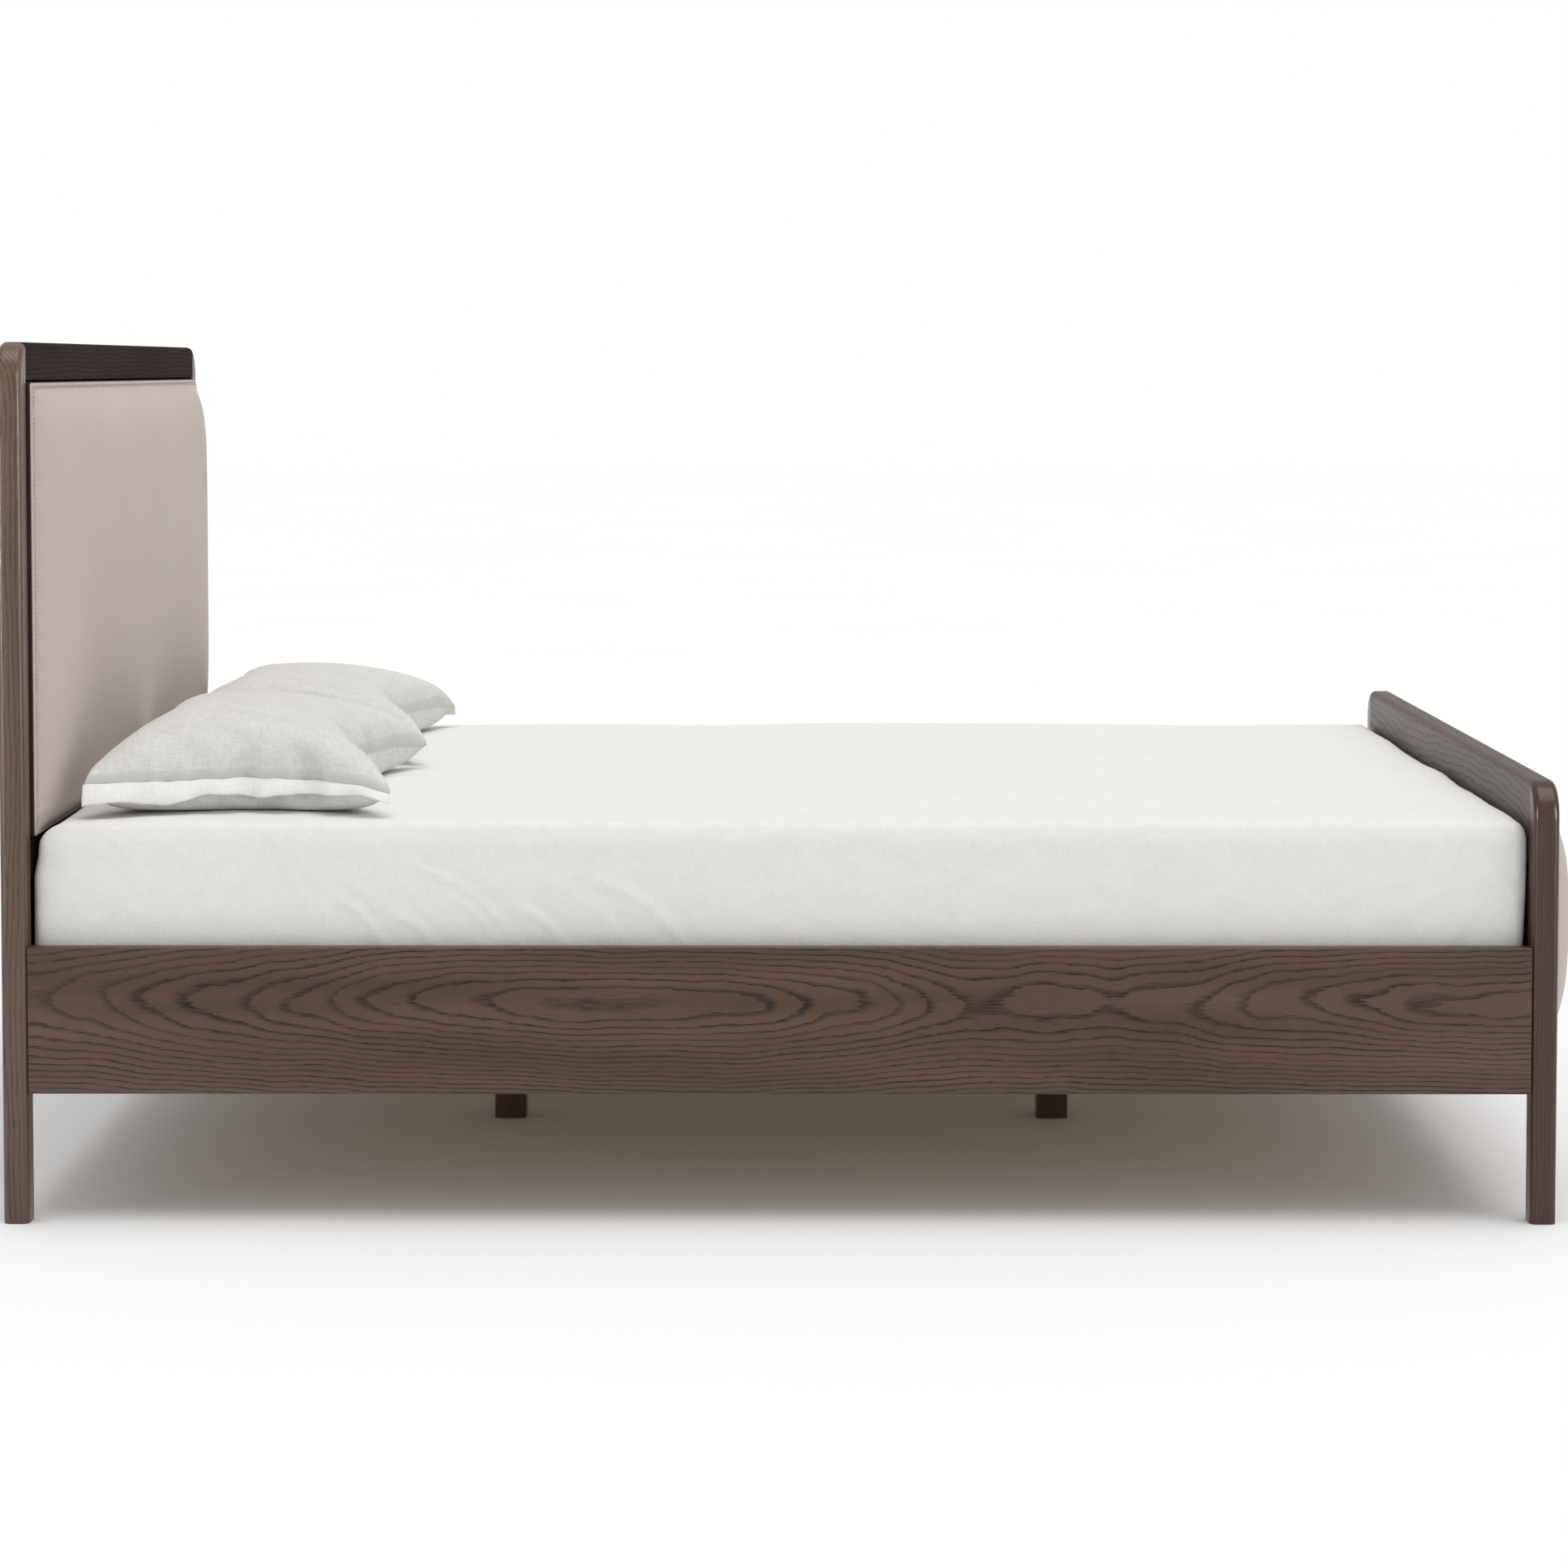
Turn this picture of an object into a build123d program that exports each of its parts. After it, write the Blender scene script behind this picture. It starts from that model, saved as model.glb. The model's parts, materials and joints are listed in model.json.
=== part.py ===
"""Low panel bed with an upholstered headboard and footboard, a mattress and two pillows.

Millimetres. +X runs from the headboard to the footboard, +Y to the left of someone lying in the
bed, +Z up. The origin is on the floor, under the middle of the overall box.
"""
from build123d import *
import os

os.makedirs("parts", exist_ok=True)

# Overall sizes
inner_length = 2042.0
bed_width = 1600.0
head_height = 1198.0
foot_height = 603.0
rail_bottom = 178.0

# End frames: posts and cross rails
frame_depth = 35.0
post_width = 40.0
top_rail_height = 52.0
mid_rail_height = 52.0
head_bottom_rail_height = 120.0
foot_bottom_rail_height = 72.0
outer_corner_radius = 50.0
outer_edge_radius = 9.0
inner_edge_radius = 2.0
lip_depth = 15.0
top_lip_height = 63.0
bottom_lip_height = 50.0
panel_clearance = 0.5

# Panels and pads of the end frames
back_panel_recess = 3.0
back_panel_thickness = 6.0
inner_panel_recess = 1.0
inner_panel_thickness = 9.0
pad_board_thickness = 12.0
pad_board_gap = 1.0
pad_gap = 2.5
pad_wall_proud = 7.5
pad_crown = 40.0
pad_welt_width = 8.0
pad_overlap = 25.0
# The crown: distance in from the welt, and the share of its rise reached there
pad_slopes = ((0.0, 0.0), (17.0, 0.42), (52.0, 0.8), (132.0, 1.0))

# Side rails and slat ledgers
rail_height = 200.0
rail_thickness = 25.0
rail_recess = 3.0
rail_end_gap = 0.8
rail_edge_radius = 2.0
ledger_height = 40.0
ledger_width = 30.0
ledger_end_gap = 20.0
ledger_screw_count = 10
ledger_screw_drop = 26.0

# Slats; their seat is this far above the side rails' lower edge
slat_seat_rise = 109.0
slat_thickness = 18.0
slat_width = 70.0
slat_count = 12
slat_end_gap = 2.0
first_slat_inset = 80.0
slat_edge_radius = 3.0
slat_screw_inset = 15.0

# Centre beam and its legs
beam_width = 48.0
beam_height = 60.0
leg_size = 48.0
leg_spacing = 840.0
leg_edge_radius = 3.0
beam_clearance = 1.0

# Hardware
dowel_radius = 5.0
dowel_length = 50.0
dowel_spacing = 16.0
top_dowel_drop = 8.0
hole_clearance = 0.1
bracket_thickness = 4.0
bracket_leg = 65.0
bracket_height = 60.0
bolt_past_dowel = 10.0
bracket_bolt_spacing = 30.0
bolt_radius = 3.0
bolt_head_radius = 6.0
bolt_head_height = 3.5
bolt_socket_radius = 2.0
bolt_reach = 11.0
insert_radius = 5.0
insert_length = 13.0
screw_radius = 2.0
screw_head_radius = 4.5
ledger_screw_length = 45.0
slat_screw_length = 30.0
head_pad_screw_length = 16.0
foot_pad_screw_length = 24.0
hanger_screw_length = 18.0
pad_screw_columns = 4
pad_screw_inset = 30.0
pad_screw_side_inset = 150.0
hanger_thickness = 3.0
hanger_depth = 40.0
hanger_flange = 24.0
hanger_screw_rise = 18.0
leg_bolt_radius = 4.0
leg_bolt_length = 70.0
glide_radius = 12.0
glide_height = 3.0
glide_proud = 1.0
glide_pin_radius = 2.0
glide_pin_length = 12.0

# Mattress and pillows
mattress_height = 240.0
mattress_side_gap = 10.0
mattress_end_gap = 8.0
mattress_corner_radius = 30.0
mattress_edge_radius = 45.0
mattress_cover_thickness = 3.0
comfort_layer_height = 60.0
rest_clearance = 0.3
pillow_length = 430.0
pillow_side_inset = 50.0
pillow_height = 140.0
pillow_head_gap = 16.0
pillow_middle_gap = 24.0
pillow_bottom_inset = 55.0
pillow_edge_height = 30.0
pillow_top_inset = 105.0

# Places along the bed
head_back = -(inner_length + 2 * frame_depth + pad_crown) / 2
head_front = head_back + frame_depth
foot_inner = head_front + inner_length
foot_outer = foot_inner + frame_depth
middle_x = (head_front + foot_inner) / 2

# Places across the bed
half_width = bed_width / 2
opening_half = half_width - post_width
post_middle = half_width - post_width / 2
rail_outer = half_width - rail_recess
rail_inner = rail_outer - rail_thickness
slat_half = rail_inner - slat_end_gap
bracket_bolt_inset = rail_inner - opening_half + dowel_length / 2 + bolt_past_dowel
mattress_width = 2 * (rail_inner - mattress_side_gap)
pillow_width = mattress_width / 2 - pillow_side_inset - pillow_middle_gap / 2

# Levels
foot_bottom_lip_top = rail_bottom + foot_bottom_rail_height + bottom_lip_height
beam_top = rail_bottom + slat_seat_rise
slat_top = beam_top + slat_thickness
mattress_bottom = slat_top + rest_clearance
mattress_top = mattress_bottom + mattress_height
head_pad_low = mattress_top - pad_overlap
head_pad_high = head_height - top_rail_height
foot_pad_low = rail_bottom + foot_bottom_rail_height
foot_pad_high = foot_height - top_rail_height
beam_bottom = beam_top - beam_height
ledger_bottom = beam_top - ledger_height
bracket_middle = rail_bottom + foot_bottom_rail_height / 2

# Depths inside the headboard
head_panel_front = head_back + back_panel_recess + back_panel_thickness
head_board_front = head_panel_front + pad_board_thickness
mid_rail_x = (head_panel_front + head_front) / 2
lip_outer = foot_inner + lip_depth
foot_board_front = lip_outer + pad_board_thickness

SIDES = {"left": 1, "right": -1}
TOUCH = 0.01


def save(piece, name):
    """Label one finished piece and write it under its own name."""
    piece.label = name
    export_step(piece, f"parts/{name}.step")


def spread(low, high, count):
    """Evenly spaced places from low to high."""
    return [low + (high - low) * i / (count - 1) for i in range(count)]


def block(x, y, z):
    """A plain block between two limits on each axis."""
    with BuildPart() as solid:
        with Locations(((x[0] + x[1]) / 2, (y[0] + y[1]) / 2, (z[0] + z[1]) / 2)):
            Box(x[1] - x[0], y[1] - y[0], z[1] - z[0])
    return solid.part


# ---------------------------------------------------------------- hardware shapes


def screw_shape(length, grow=0.0):
    """A countersunk screw, its head flush with the plane and its shank going down."""
    head = screw_head_radius + grow
    shank = screw_radius + grow
    with BuildPart() as screw:
        with BuildSketch(Plane.XZ):
            with BuildLine():
                Polyline(
                    (0, 0),
                    (head, 0),
                    (shank, shank - head),
                    (shank, -length - grow),
                    (0, -length - grow),
                    close=True,
                )
            make_face()
        revolve(axis=Axis.Z)
    return screw.part


def bolt_shape():
    """A button-head machine bolt with a hex socket, seated on its plane."""
    with BuildPart() as bolt:
        Cylinder(bolt_head_radius, bolt_head_height, align=(Align.CENTER, Align.CENTER, Align.MIN))
        fillet(bolt.edges().sort_by(Axis.Z)[-1], bolt_head_height / 3)
        with BuildSketch(Plane.XY.offset(bolt_head_height)):
            RegularPolygon(bolt_socket_radius, 6)
        extrude(amount=-bolt_head_height / 2, mode=Mode.SUBTRACT)
        with BuildSketch(Plane.XY):
            Circle(bolt_radius)
        extrude(amount=-(bracket_thickness + bolt_reach))
    return bolt.part


def insert_shape():
    """A threaded insert, its mouth flush with the plane."""
    with BuildPart() as insert:
        with BuildSketch(Plane.XY):
            Circle(insert_radius)
            Circle(bolt_radius + hole_clearance, mode=Mode.SUBTRACT)
        extrude(amount=-insert_length)
    return insert.part


def placed(shape, planes):
    """Copies of one shape on several planes, as separate solids of one piece."""
    with BuildPart() as group:
        with Locations(*planes):
            add(shape)
    return group.part


def drill(planes, radius, depth):
    """Cut a blind hole at each plane of the part being built."""
    with Locations(*planes):
        Cylinder(
            radius,
            depth,
            align=(Align.CENTER, Align.CENTER, Align.MAX),
            mode=Mode.SUBTRACT,
        )


def cut_screws(planes, length):
    """Cut the countersunk holes of a set of screws from the part being built."""
    with Locations(*planes):
        add(screw_shape(length, hole_clearance), mode=Mode.SUBTRACT)


# ---------------------------------------------------------------- places of the hardware


def rail_dowels(x, z):
    """Two dowels at each end of a cross rail, lying along the bed's width."""
    return [
        Plane(origin=(x, side * opening_half, level), z_dir=(0, side, 0))
        for side in SIDES.values()
        for level in (z - dowel_spacing / 2, z + dowel_spacing / 2)
    ]


head_middle_x = head_back + frame_depth / 2
foot_middle_x = foot_inner + frame_depth / 2
head_dowels = {
    "top": rail_dowels(head_middle_x, head_height - top_rail_height / 2 - top_dowel_drop),
    "mid": rail_dowels(mid_rail_x, head_pad_low - mid_rail_height / 2),
    "bottom": rail_dowels(head_middle_x, rail_bottom + head_bottom_rail_height / 2),
}
foot_dowels = {
    "top": rail_dowels(foot_middle_x, foot_height - top_rail_height / 2 - top_dowel_drop),
    "bottom": rail_dowels(foot_middle_x, rail_bottom + foot_bottom_rail_height / 2),
}

ENDS = {"head": (head_front, 1), "foot": (foot_inner, -1)}


def bracket_heights():
    """Levels of the two bolts in each leg of a bracket."""
    return [bracket_middle + step * bracket_bolt_spacing / 2 for step in (-1, 1)]


def end_bolts(end, lift):
    """Bolts of the brackets into one end frame, lifted off its face."""
    face, inward = ENDS[end]
    return [
        Plane(
            origin=(face + inward * lift, side * (rail_inner - bracket_bolt_inset), z),
            z_dir=(inward, 0, 0),
        )
        for side in SIDES.values()
        for z in bracket_heights()
    ]


def rail_bolts(side, lift):
    """Bolts of the brackets into one side rail, lifted off its inner face."""
    return [
        Plane(
            origin=(face + inward * bracket_bolt_inset, side * (rail_inner - lift), z),
            z_dir=(0, -side, 0),
        )
        for face, inward in ENDS.values()
        for z in bracket_heights()
    ]


ledger_ends = (head_front + ledger_end_gap, foot_inner - ledger_end_gap)
ledger_level = beam_top - ledger_screw_drop


def ledger_screws(side):
    """Screws that hold one ledger to its side rail."""
    inset = ledger_end_gap * 2
    places = spread(ledger_ends[0] + inset, ledger_ends[1] - inset, ledger_screw_count)
    return [
        Plane(origin=(x, side * (rail_inner - ledger_width), ledger_level), z_dir=(0, -side, 0))
        for x in places
    ]


slat_places = spread(head_front + first_slat_inset, foot_inner - first_slat_inset, slat_count)


def slat_screws(side):
    """Screws that hold the slats' ends down on one ledger."""
    y = side * (slat_half - slat_screw_inset)
    return [Plane(origin=(x, y, slat_top), z_dir=(0, 0, 1)) for x in slat_places]


def pad_screws(x, levels):
    """Screws that hold a pad board from behind."""
    reach = opening_half - pad_screw_side_inset
    columns = spread(-reach, reach, pad_screw_columns)
    return [Plane(origin=(x, y, z), z_dir=(-1, 0, 0)) for y in columns for z in levels]


head_pad_screws = pad_screws(
    head_back + back_panel_recess,
    (head_pad_low + pad_screw_inset, head_pad_high - pad_screw_inset),
)
foot_pad_screws = pad_screws(
    foot_inner,
    (foot_pad_low + bottom_lip_height / 2, foot_pad_high - top_lip_height / 2),
)


def hanger_screws(end):
    """Two screws that hold the beam's hanger to one end frame."""
    face, inward = ENDS[end]
    z = rail_bottom + hanger_screw_rise
    spacing = beam_width / 2
    return [
        Plane(origin=(face + inward * hanger_thickness, y, z), z_dir=(inward, 0, 0))
        for y in (-spacing, spacing)
    ]


leg_places = [middle_x - leg_spacing / 2, middle_x + leg_spacing / 2]
post_places = [
    (x, side * post_middle) for x in (head_middle_x, foot_middle_x) for side in SIDES.values()
]

# ---------------------------------------------------------------- end frames


def arch(back, height):
    """Two posts and a top rail in one inverted U, rounded before it is cut into members."""
    inner_top = height - top_rail_height

    def standing(edge):
        return edge.center().Z > glide_proud + TOUCH

    def inside(edge):
        place = edge.center()
        return abs(place.Y) < opening_half + TOUCH and place.Z < inner_top + TOUCH

    with BuildPart() as whole:
        with BuildSketch(Plane.YZ.offset(back)):
            with Locations((0, (glide_proud + height) / 2)):
                outline = Rectangle(bed_width, height - glide_proud)
            fillet(outline.vertices().group_by(Axis.Y)[-1], outer_corner_radius)
            with Locations((0, (glide_proud + inner_top) / 2)):
                Rectangle(2 * opening_half, inner_top - glide_proud, mode=Mode.SUBTRACT)
        extrude(amount=frame_depth)
        flat_faces = whole.faces().filter_by(Axis.X).sort_by(Axis.X)
        rims = (flat_faces[0].edges() + flat_faces[-1].edges()).filter_by(standing)
        fillet(rims.filter_by(lambda edge: not inside(edge)), outer_edge_radius)
        flat_faces = whole.faces().filter_by(Axis.X).sort_by(Axis.X)
        rims = (flat_faces[0].edges() + flat_faces[-1].edges()).filter_by(standing)
        fillet(rims.filter_by(inside), inner_edge_radius)
    return whole.part


def cut_dowels(groups):
    """Cut the dowel holes of several joints from the part being built."""
    with Locations(*[plane for group in groups for plane in group]):
        Cylinder(
            dowel_radius + hole_clearance,
            dowel_length + 2 * hole_clearance,
            mode=Mode.SUBTRACT,
        )


def post(whole, side, x, dowels):
    """One post of an arch, with its dowel holes and the recess of its glide."""
    with BuildPart() as piece:
        add(whole)
        split(
            bisect_by=Plane(origin=(0, side * opening_half, 0), z_dir=(0, side, 0)),
            keep=Keep.TOP,
        )
        cut_dowels(dowels.values())
        with Locations((x, side * post_middle, glide_proud)):
            cut_glide()
    return piece.part


def cut_glide():
    """Cut the recess of a glide and the hole of its pin upwards from the place."""
    upward = (Align.CENTER, Align.CENTER, Align.MIN)
    Cylinder(
        glide_radius + hole_clearance,
        glide_height - glide_proud,
        align=upward,
        mode=Mode.SUBTRACT,
    )
    Cylinder(
        glide_pin_radius + hole_clearance,
        glide_height - glide_proud + glide_pin_length + hole_clearance,
        align=upward,
        mode=Mode.SUBTRACT,
    )


def between_posts(whole):
    """Keep the stretch of an arch between its posts, in the part being built."""
    add(whole)
    for side in SIDES.values():
        split(
            bisect_by=Plane(origin=(0, side * opening_half, 0), z_dir=(0, -side, 0)),
            keep=Keep.TOP,
        )


def crowned_pad(back, front, low, high):
    """A closed pad: a straight wall, a flat welt, and a crown in three slopes."""
    half = opening_half - pad_gap
    bottom = low + pad_gap
    top = high - pad_gap
    wall = front + pad_wall_proud
    rise = pad_crown - pad_wall_proud
    steps = [(pad_welt_width + run, wall + rise * share) for run, share in pad_slopes]

    def outline(inset):
        with Locations((0, (bottom + top) / 2)):
            Rectangle(2 * (half - inset), top - bottom - 2 * inset)

    with BuildPart() as pad:
        with BuildSketch(Plane.YZ.offset(back)):
            outline(0)
        extrude(amount=wall - back)
        for (inset_a, x_a), (inset_b, x_b) in zip(steps, steps[1:]):
            with BuildSketch(Plane.YZ.offset(x_a)):
                outline(inset_a)
            with BuildSketch(Plane.YZ.offset(x_b)):
                outline(inset_b)
            loft(ruled=True)
    return pad.part


head_arch = arch(head_back, head_height)
foot_arch = arch(foot_inner, foot_height)

for name, side in SIDES.items():
    save(post(head_arch, side, head_middle_x, head_dowels), f"head_post_{name}")
    save(post(foot_arch, side, foot_middle_x, foot_dowels), f"foot_post_{name}")

with BuildPart() as head_top_rail:
    between_posts(head_arch)
    cut_dowels([head_dowels["top"]])
save(head_top_rail.part, "head_top_rail")

full_opening = (-opening_half, opening_half)
with BuildPart() as head_mid_rail:
    add(
        block(
            (head_panel_front, head_front),
            full_opening,
            (head_pad_low - mid_rail_height, head_pad_low),
        )
    )
    cut_dowels([head_dowels["mid"]])
save(head_mid_rail.part, "head_mid_rail")

with BuildPart() as head_bottom_rail:
    add(
        block(
            (head_back, head_front),
            full_opening,
            (rail_bottom, rail_bottom + head_bottom_rail_height),
        )
    )
    fillet(head_bottom_rail.edges().filter_by(Axis.Y), inner_edge_radius)
    cut_dowels([head_dowels["bottom"]])
    drill(end_bolts("head", 0), insert_radius + hole_clearance, insert_length + hole_clearance)
    cut_screws(hanger_screws("head"), hanger_screw_length)
save(head_bottom_rail.part, "head_bottom_rail")

panel_half = opening_half - panel_clearance
with BuildPart() as head_back_panel:
    add(
        block(
            (head_back + back_panel_recess, head_panel_front),
            (-panel_half, panel_half),
            (rail_bottom + head_bottom_rail_height + panel_clearance, head_pad_high - panel_clearance),
        )
    )
    cut_screws(head_pad_screws, head_pad_screw_length)
save(head_back_panel.part, "head_back_panel")

board_half = opening_half - pad_board_gap
with BuildPart() as head_pad_board:
    add(
        block(
            (head_panel_front, head_board_front),
            (-board_half, board_half),
            (head_pad_low + pad_board_gap, head_pad_high - pad_board_gap),
        )
    )
    cut_screws(head_pad_screws, head_pad_screw_length)
save(head_pad_board.part, "head_pad_board")

save(
    crowned_pad(head_board_front, head_front, head_pad_low, head_pad_high),
    "head_pad_cushion",
)

with BuildPart() as foot_top_rail:
    between_posts(foot_arch)
    add(
        block(
            (foot_inner, lip_outer),
            full_opening,
            (foot_pad_high - top_lip_height, foot_pad_high + inner_edge_radius),
        )
    )
    cut_dowels([foot_dowels["top"]])
    cut_screws(foot_pad_screws, foot_pad_screw_length)
save(foot_top_rail.part, "foot_top_rail")

with BuildPart() as foot_bottom_rail:
    add(block((foot_inner, foot_outer), full_opening, (rail_bottom, foot_pad_low)))
    add(block((foot_inner, lip_outer), full_opening, (foot_pad_low, foot_bottom_lip_top)))
    cut_dowels([foot_dowels["bottom"]])
    drill(end_bolts("foot", 0), insert_radius + hole_clearance, insert_length + hole_clearance)
    cut_screws(foot_pad_screws, foot_pad_screw_length)
    cut_screws(hanger_screws("foot"), hanger_screw_length)
save(foot_bottom_rail.part, "foot_bottom_rail")

foot_inner_panel = block(
    (foot_inner + inner_panel_recess, foot_inner + inner_panel_recess + inner_panel_thickness),
    (-panel_half, panel_half),
    (foot_bottom_lip_top + panel_clearance, foot_pad_high - top_lip_height - panel_clearance),
)
save(foot_inner_panel, "foot_inner_panel")

with BuildPart() as foot_pad_board:
    add(
        block(
            (lip_outer, foot_board_front),
            (-board_half, board_half),
            (foot_pad_low + pad_board_gap, foot_pad_high - pad_board_gap),
        )
    )
    cut_screws(foot_pad_screws, foot_pad_screw_length)
save(foot_pad_board.part, "foot_pad_board")

save(
    crowned_pad(foot_board_front, foot_outer, foot_pad_low, foot_pad_high),
    "foot_pad_cushion",
)

with BuildPart() as dowel:
    Cylinder(dowel_radius, dowel_length)
    chamfer(dowel.edges(), dowel_radius / 5)
for end, groups in (("head", head_dowels), ("foot", foot_dowels)):
    planes = [plane for group in groups.values() for plane in group]
    save(placed(dowel.part, planes), f"{end}_frame_dowels")
save(placed(screw_shape(head_pad_screw_length), head_pad_screws), "head_pad_screws")
save(placed(screw_shape(foot_pad_screw_length), foot_pad_screws), "foot_pad_screws")

# ---------------------------------------------------------------- side rails and brackets

for name, side in SIDES.items():
    with BuildPart() as side_rail:
        with Locations(
            (
                middle_x,
                side * (rail_outer + rail_inner) / 2,
                rail_bottom + rail_height / 2,
            )
        ):
            Box(inner_length - 2 * rail_end_gap, rail_thickness, rail_height)
        fillet(side_rail.edges().filter_by(Axis.X), rail_edge_radius)
        drill(
            rail_bolts(side, 0),
            insert_radius + hole_clearance,
            insert_length + hole_clearance,
        )
        cut_screws(ledger_screws(side), ledger_screw_length)
    save(side_rail.part, f"side_rail_{name}")

    with BuildPart() as ledger:
        with Locations(
            (
                middle_x,
                side * (rail_inner - ledger_width / 2),
                (ledger_bottom + beam_top) / 2,
            )
        ):
            Box(ledger_ends[1] - ledger_ends[0], ledger_width, ledger_height)
        cut_screws(ledger_screws(side), ledger_screw_length)
        cut_screws(slat_screws(side), slat_screw_length)
    save(ledger.part, f"slat_ledger_{name}")

all_ledger_screws = ledger_screws(1) + ledger_screws(-1)
save(placed(screw_shape(ledger_screw_length), all_ledger_screws), "ledger_screws")

for end, (face, inward) in ENDS.items():
    for name, side in SIDES.items():
        with BuildPart() as bracket:
            with BuildSketch(Plane.XY.offset(bracket_middle - bracket_height / 2)):
                with BuildLine():
                    Polyline(
                        (face, side * rail_inner),
                        (face + inward * bracket_leg, side * rail_inner),
                        (face + inward * bracket_leg, side * (rail_inner - bracket_thickness)),
                        (
                            face + inward * bracket_thickness,
                            side * (rail_inner - bracket_thickness),
                        ),
                        (face + inward * bracket_thickness, side * (rail_inner - bracket_leg)),
                        (face, side * (rail_inner - bracket_leg)),
                        close=True,
                    )
                make_face()
            extrude(amount=bracket_height)
            bolts = end_bolts(end, bracket_thickness) + rail_bolts(side, bracket_thickness)
            drill(bolts, bolt_radius + 2 * hole_clearance, bracket_thickness)
        save(bracket.part, f"corner_bracket_{end}_{name}")

seats = [plane for end in ENDS for plane in end_bolts(end, bracket_thickness)]
seats += [plane for side in SIDES.values() for plane in rail_bolts(side, bracket_thickness)]
mouths = [plane for end in ENDS for plane in end_bolts(end, 0)]
mouths += [plane for side in SIDES.values() for plane in rail_bolts(side, 0)]
save(placed(bolt_shape(), seats), "bracket_bolts")
save(placed(insert_shape(), mouths), "threaded_inserts")

# ---------------------------------------------------------------- slats

for number, x in enumerate(slat_places, start=1):
    with BuildPart() as slat:
        with Locations((x, 0, (beam_top + slat_top) / 2)):
            Box(slat_width, 2 * slat_half, slat_thickness)
        fillet(slat.edges().filter_by(Axis.Y), slat_edge_radius)
        ends = [slat_screws(side)[number - 1] for side in SIDES.values()]
        cut_screws(ends, slat_screw_length)
    save(slat.part, f"slat_{number:02d}")

all_slat_screws = slat_screws(1) + slat_screws(-1)
save(placed(screw_shape(slat_screw_length), all_slat_screws), "slat_screws")

# ---------------------------------------------------------------- centre beam and legs

beam_middle = (beam_bottom + beam_top) / 2
leg_bolt_planes = [Plane(origin=(x, 0, beam_bottom), z_dir=(0, 0, 1)) for x in leg_places]


def cut_leg_bolts():
    """Cut the holes of the legs' bolts from the part being built."""
    with Locations(*leg_bolt_planes):
        Cylinder(
            leg_bolt_radius + hole_clearance,
            leg_bolt_length + 2 * hole_clearance,
            mode=Mode.SUBTRACT,
        )


with BuildPart() as centre_beam:
    with Locations((middle_x, 0, beam_middle)):
        Box(
            inner_length - 2 * (hanger_thickness + beam_clearance),
            beam_width,
            beam_height,
        )
    cut_leg_bolts()
save(centre_beam.part, "centre_beam")

for end, (face, inward) in ENDS.items():
    pocket_half = beam_width / 2 + beam_clearance / 2
    wall_half = pocket_half + hanger_thickness
    plate_low = rail_bottom + hanger_thickness
    pocket_high = beam_top - beam_height / 4
    with BuildPart() as hanger:
        with BuildSketch(Plane.YZ.offset(face)):
            with Locations((0, (plate_low + beam_bottom) / 2)):
                Rectangle(2 * (wall_half + hanger_flange), beam_bottom - plate_low)
            with Locations((0, (plate_low + pocket_high) / 2)):
                Rectangle(2 * wall_half, pocket_high - plate_low)
        extrude(amount=inward * hanger_thickness)
        with BuildSketch(Plane.YZ.offset(face)):
            with Locations((0, (beam_bottom - hanger_thickness + pocket_high) / 2)):
                Rectangle(2 * wall_half, pocket_high - beam_bottom + hanger_thickness)
            with Locations((0, (beam_bottom + pocket_high) / 2)):
                Rectangle(2 * pocket_half, pocket_high - beam_bottom, mode=Mode.SUBTRACT)
        extrude(amount=inward * hanger_depth)
        cut_screws(hanger_screws(end), hanger_screw_length)
    save(hanger.part, f"beam_hanger_{end}")

all_hanger_screws = hanger_screws("head") + hanger_screws("foot")
save(placed(screw_shape(hanger_screw_length), all_hanger_screws), "hanger_screws")

for name, x in zip(ENDS, leg_places):
    with BuildPart() as leg:
        with BuildSketch(Plane.XY.offset(glide_proud)):
            with Locations((x, 0)):
                RectangleRounded(leg_size, leg_size, leg_edge_radius)
        extrude(amount=beam_bottom - glide_proud)
        cut_leg_bolts()
        with Locations((x, 0, glide_proud)):
            cut_glide()
    save(leg.part, f"centre_leg_{name}")

with BuildPart() as leg_bolt:
    Cylinder(leg_bolt_radius, leg_bolt_length)
    chamfer(leg_bolt.edges(), leg_bolt_radius / 5)
save(placed(leg_bolt.part, leg_bolt_planes), "centre_leg_bolts")

with BuildPart() as glide:
    upward = (Align.CENTER, Align.CENTER, Align.MIN)
    Cylinder(glide_radius, glide_height, align=upward)
    chamfer(glide.edges().sort_by(Axis.Z)[0], glide_proud / 2)
    Cylinder(glide_pin_radius, glide_height + glide_pin_length, align=upward)
save(placed(glide.part, [Location((x, y, 0)) for x, y in post_places]), "post_glides")
save(placed(glide.part, [Location((x, 0, 0)) for x in leg_places]), "centre_leg_glides")

# ---------------------------------------------------------------- mattress and pillows


def mattress_block(inset):
    """The mattress's outline, or a smaller copy of it set in by the same amount all round."""
    with BuildPart() as body:
        with BuildSketch(Plane.XY.offset(mattress_bottom + inset)):
            with Locations((middle_x, 0)):
                RectangleRounded(
                    inner_length - 2 * (mattress_end_gap + inset),
                    mattress_width - 2 * inset,
                    mattress_corner_radius - inset,
                )
        extrude(amount=mattress_height - 2 * inset)
        flat_faces = body.faces().filter_by(Axis.Z).sort_by(Axis.Z)
        fillet(flat_faces[0].edges() + flat_faces[-1].edges(), mattress_edge_radius - inset)
    return body.part


filling = mattress_block(mattress_cover_thickness)
filling_cut = Plane.XY.offset(mattress_top - mattress_cover_thickness - comfort_layer_height)

with BuildPart() as mattress_cover:
    add(mattress_block(0))
    add(filling, mode=Mode.SUBTRACT)
save(mattress_cover.part, "mattress_cover")

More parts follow.
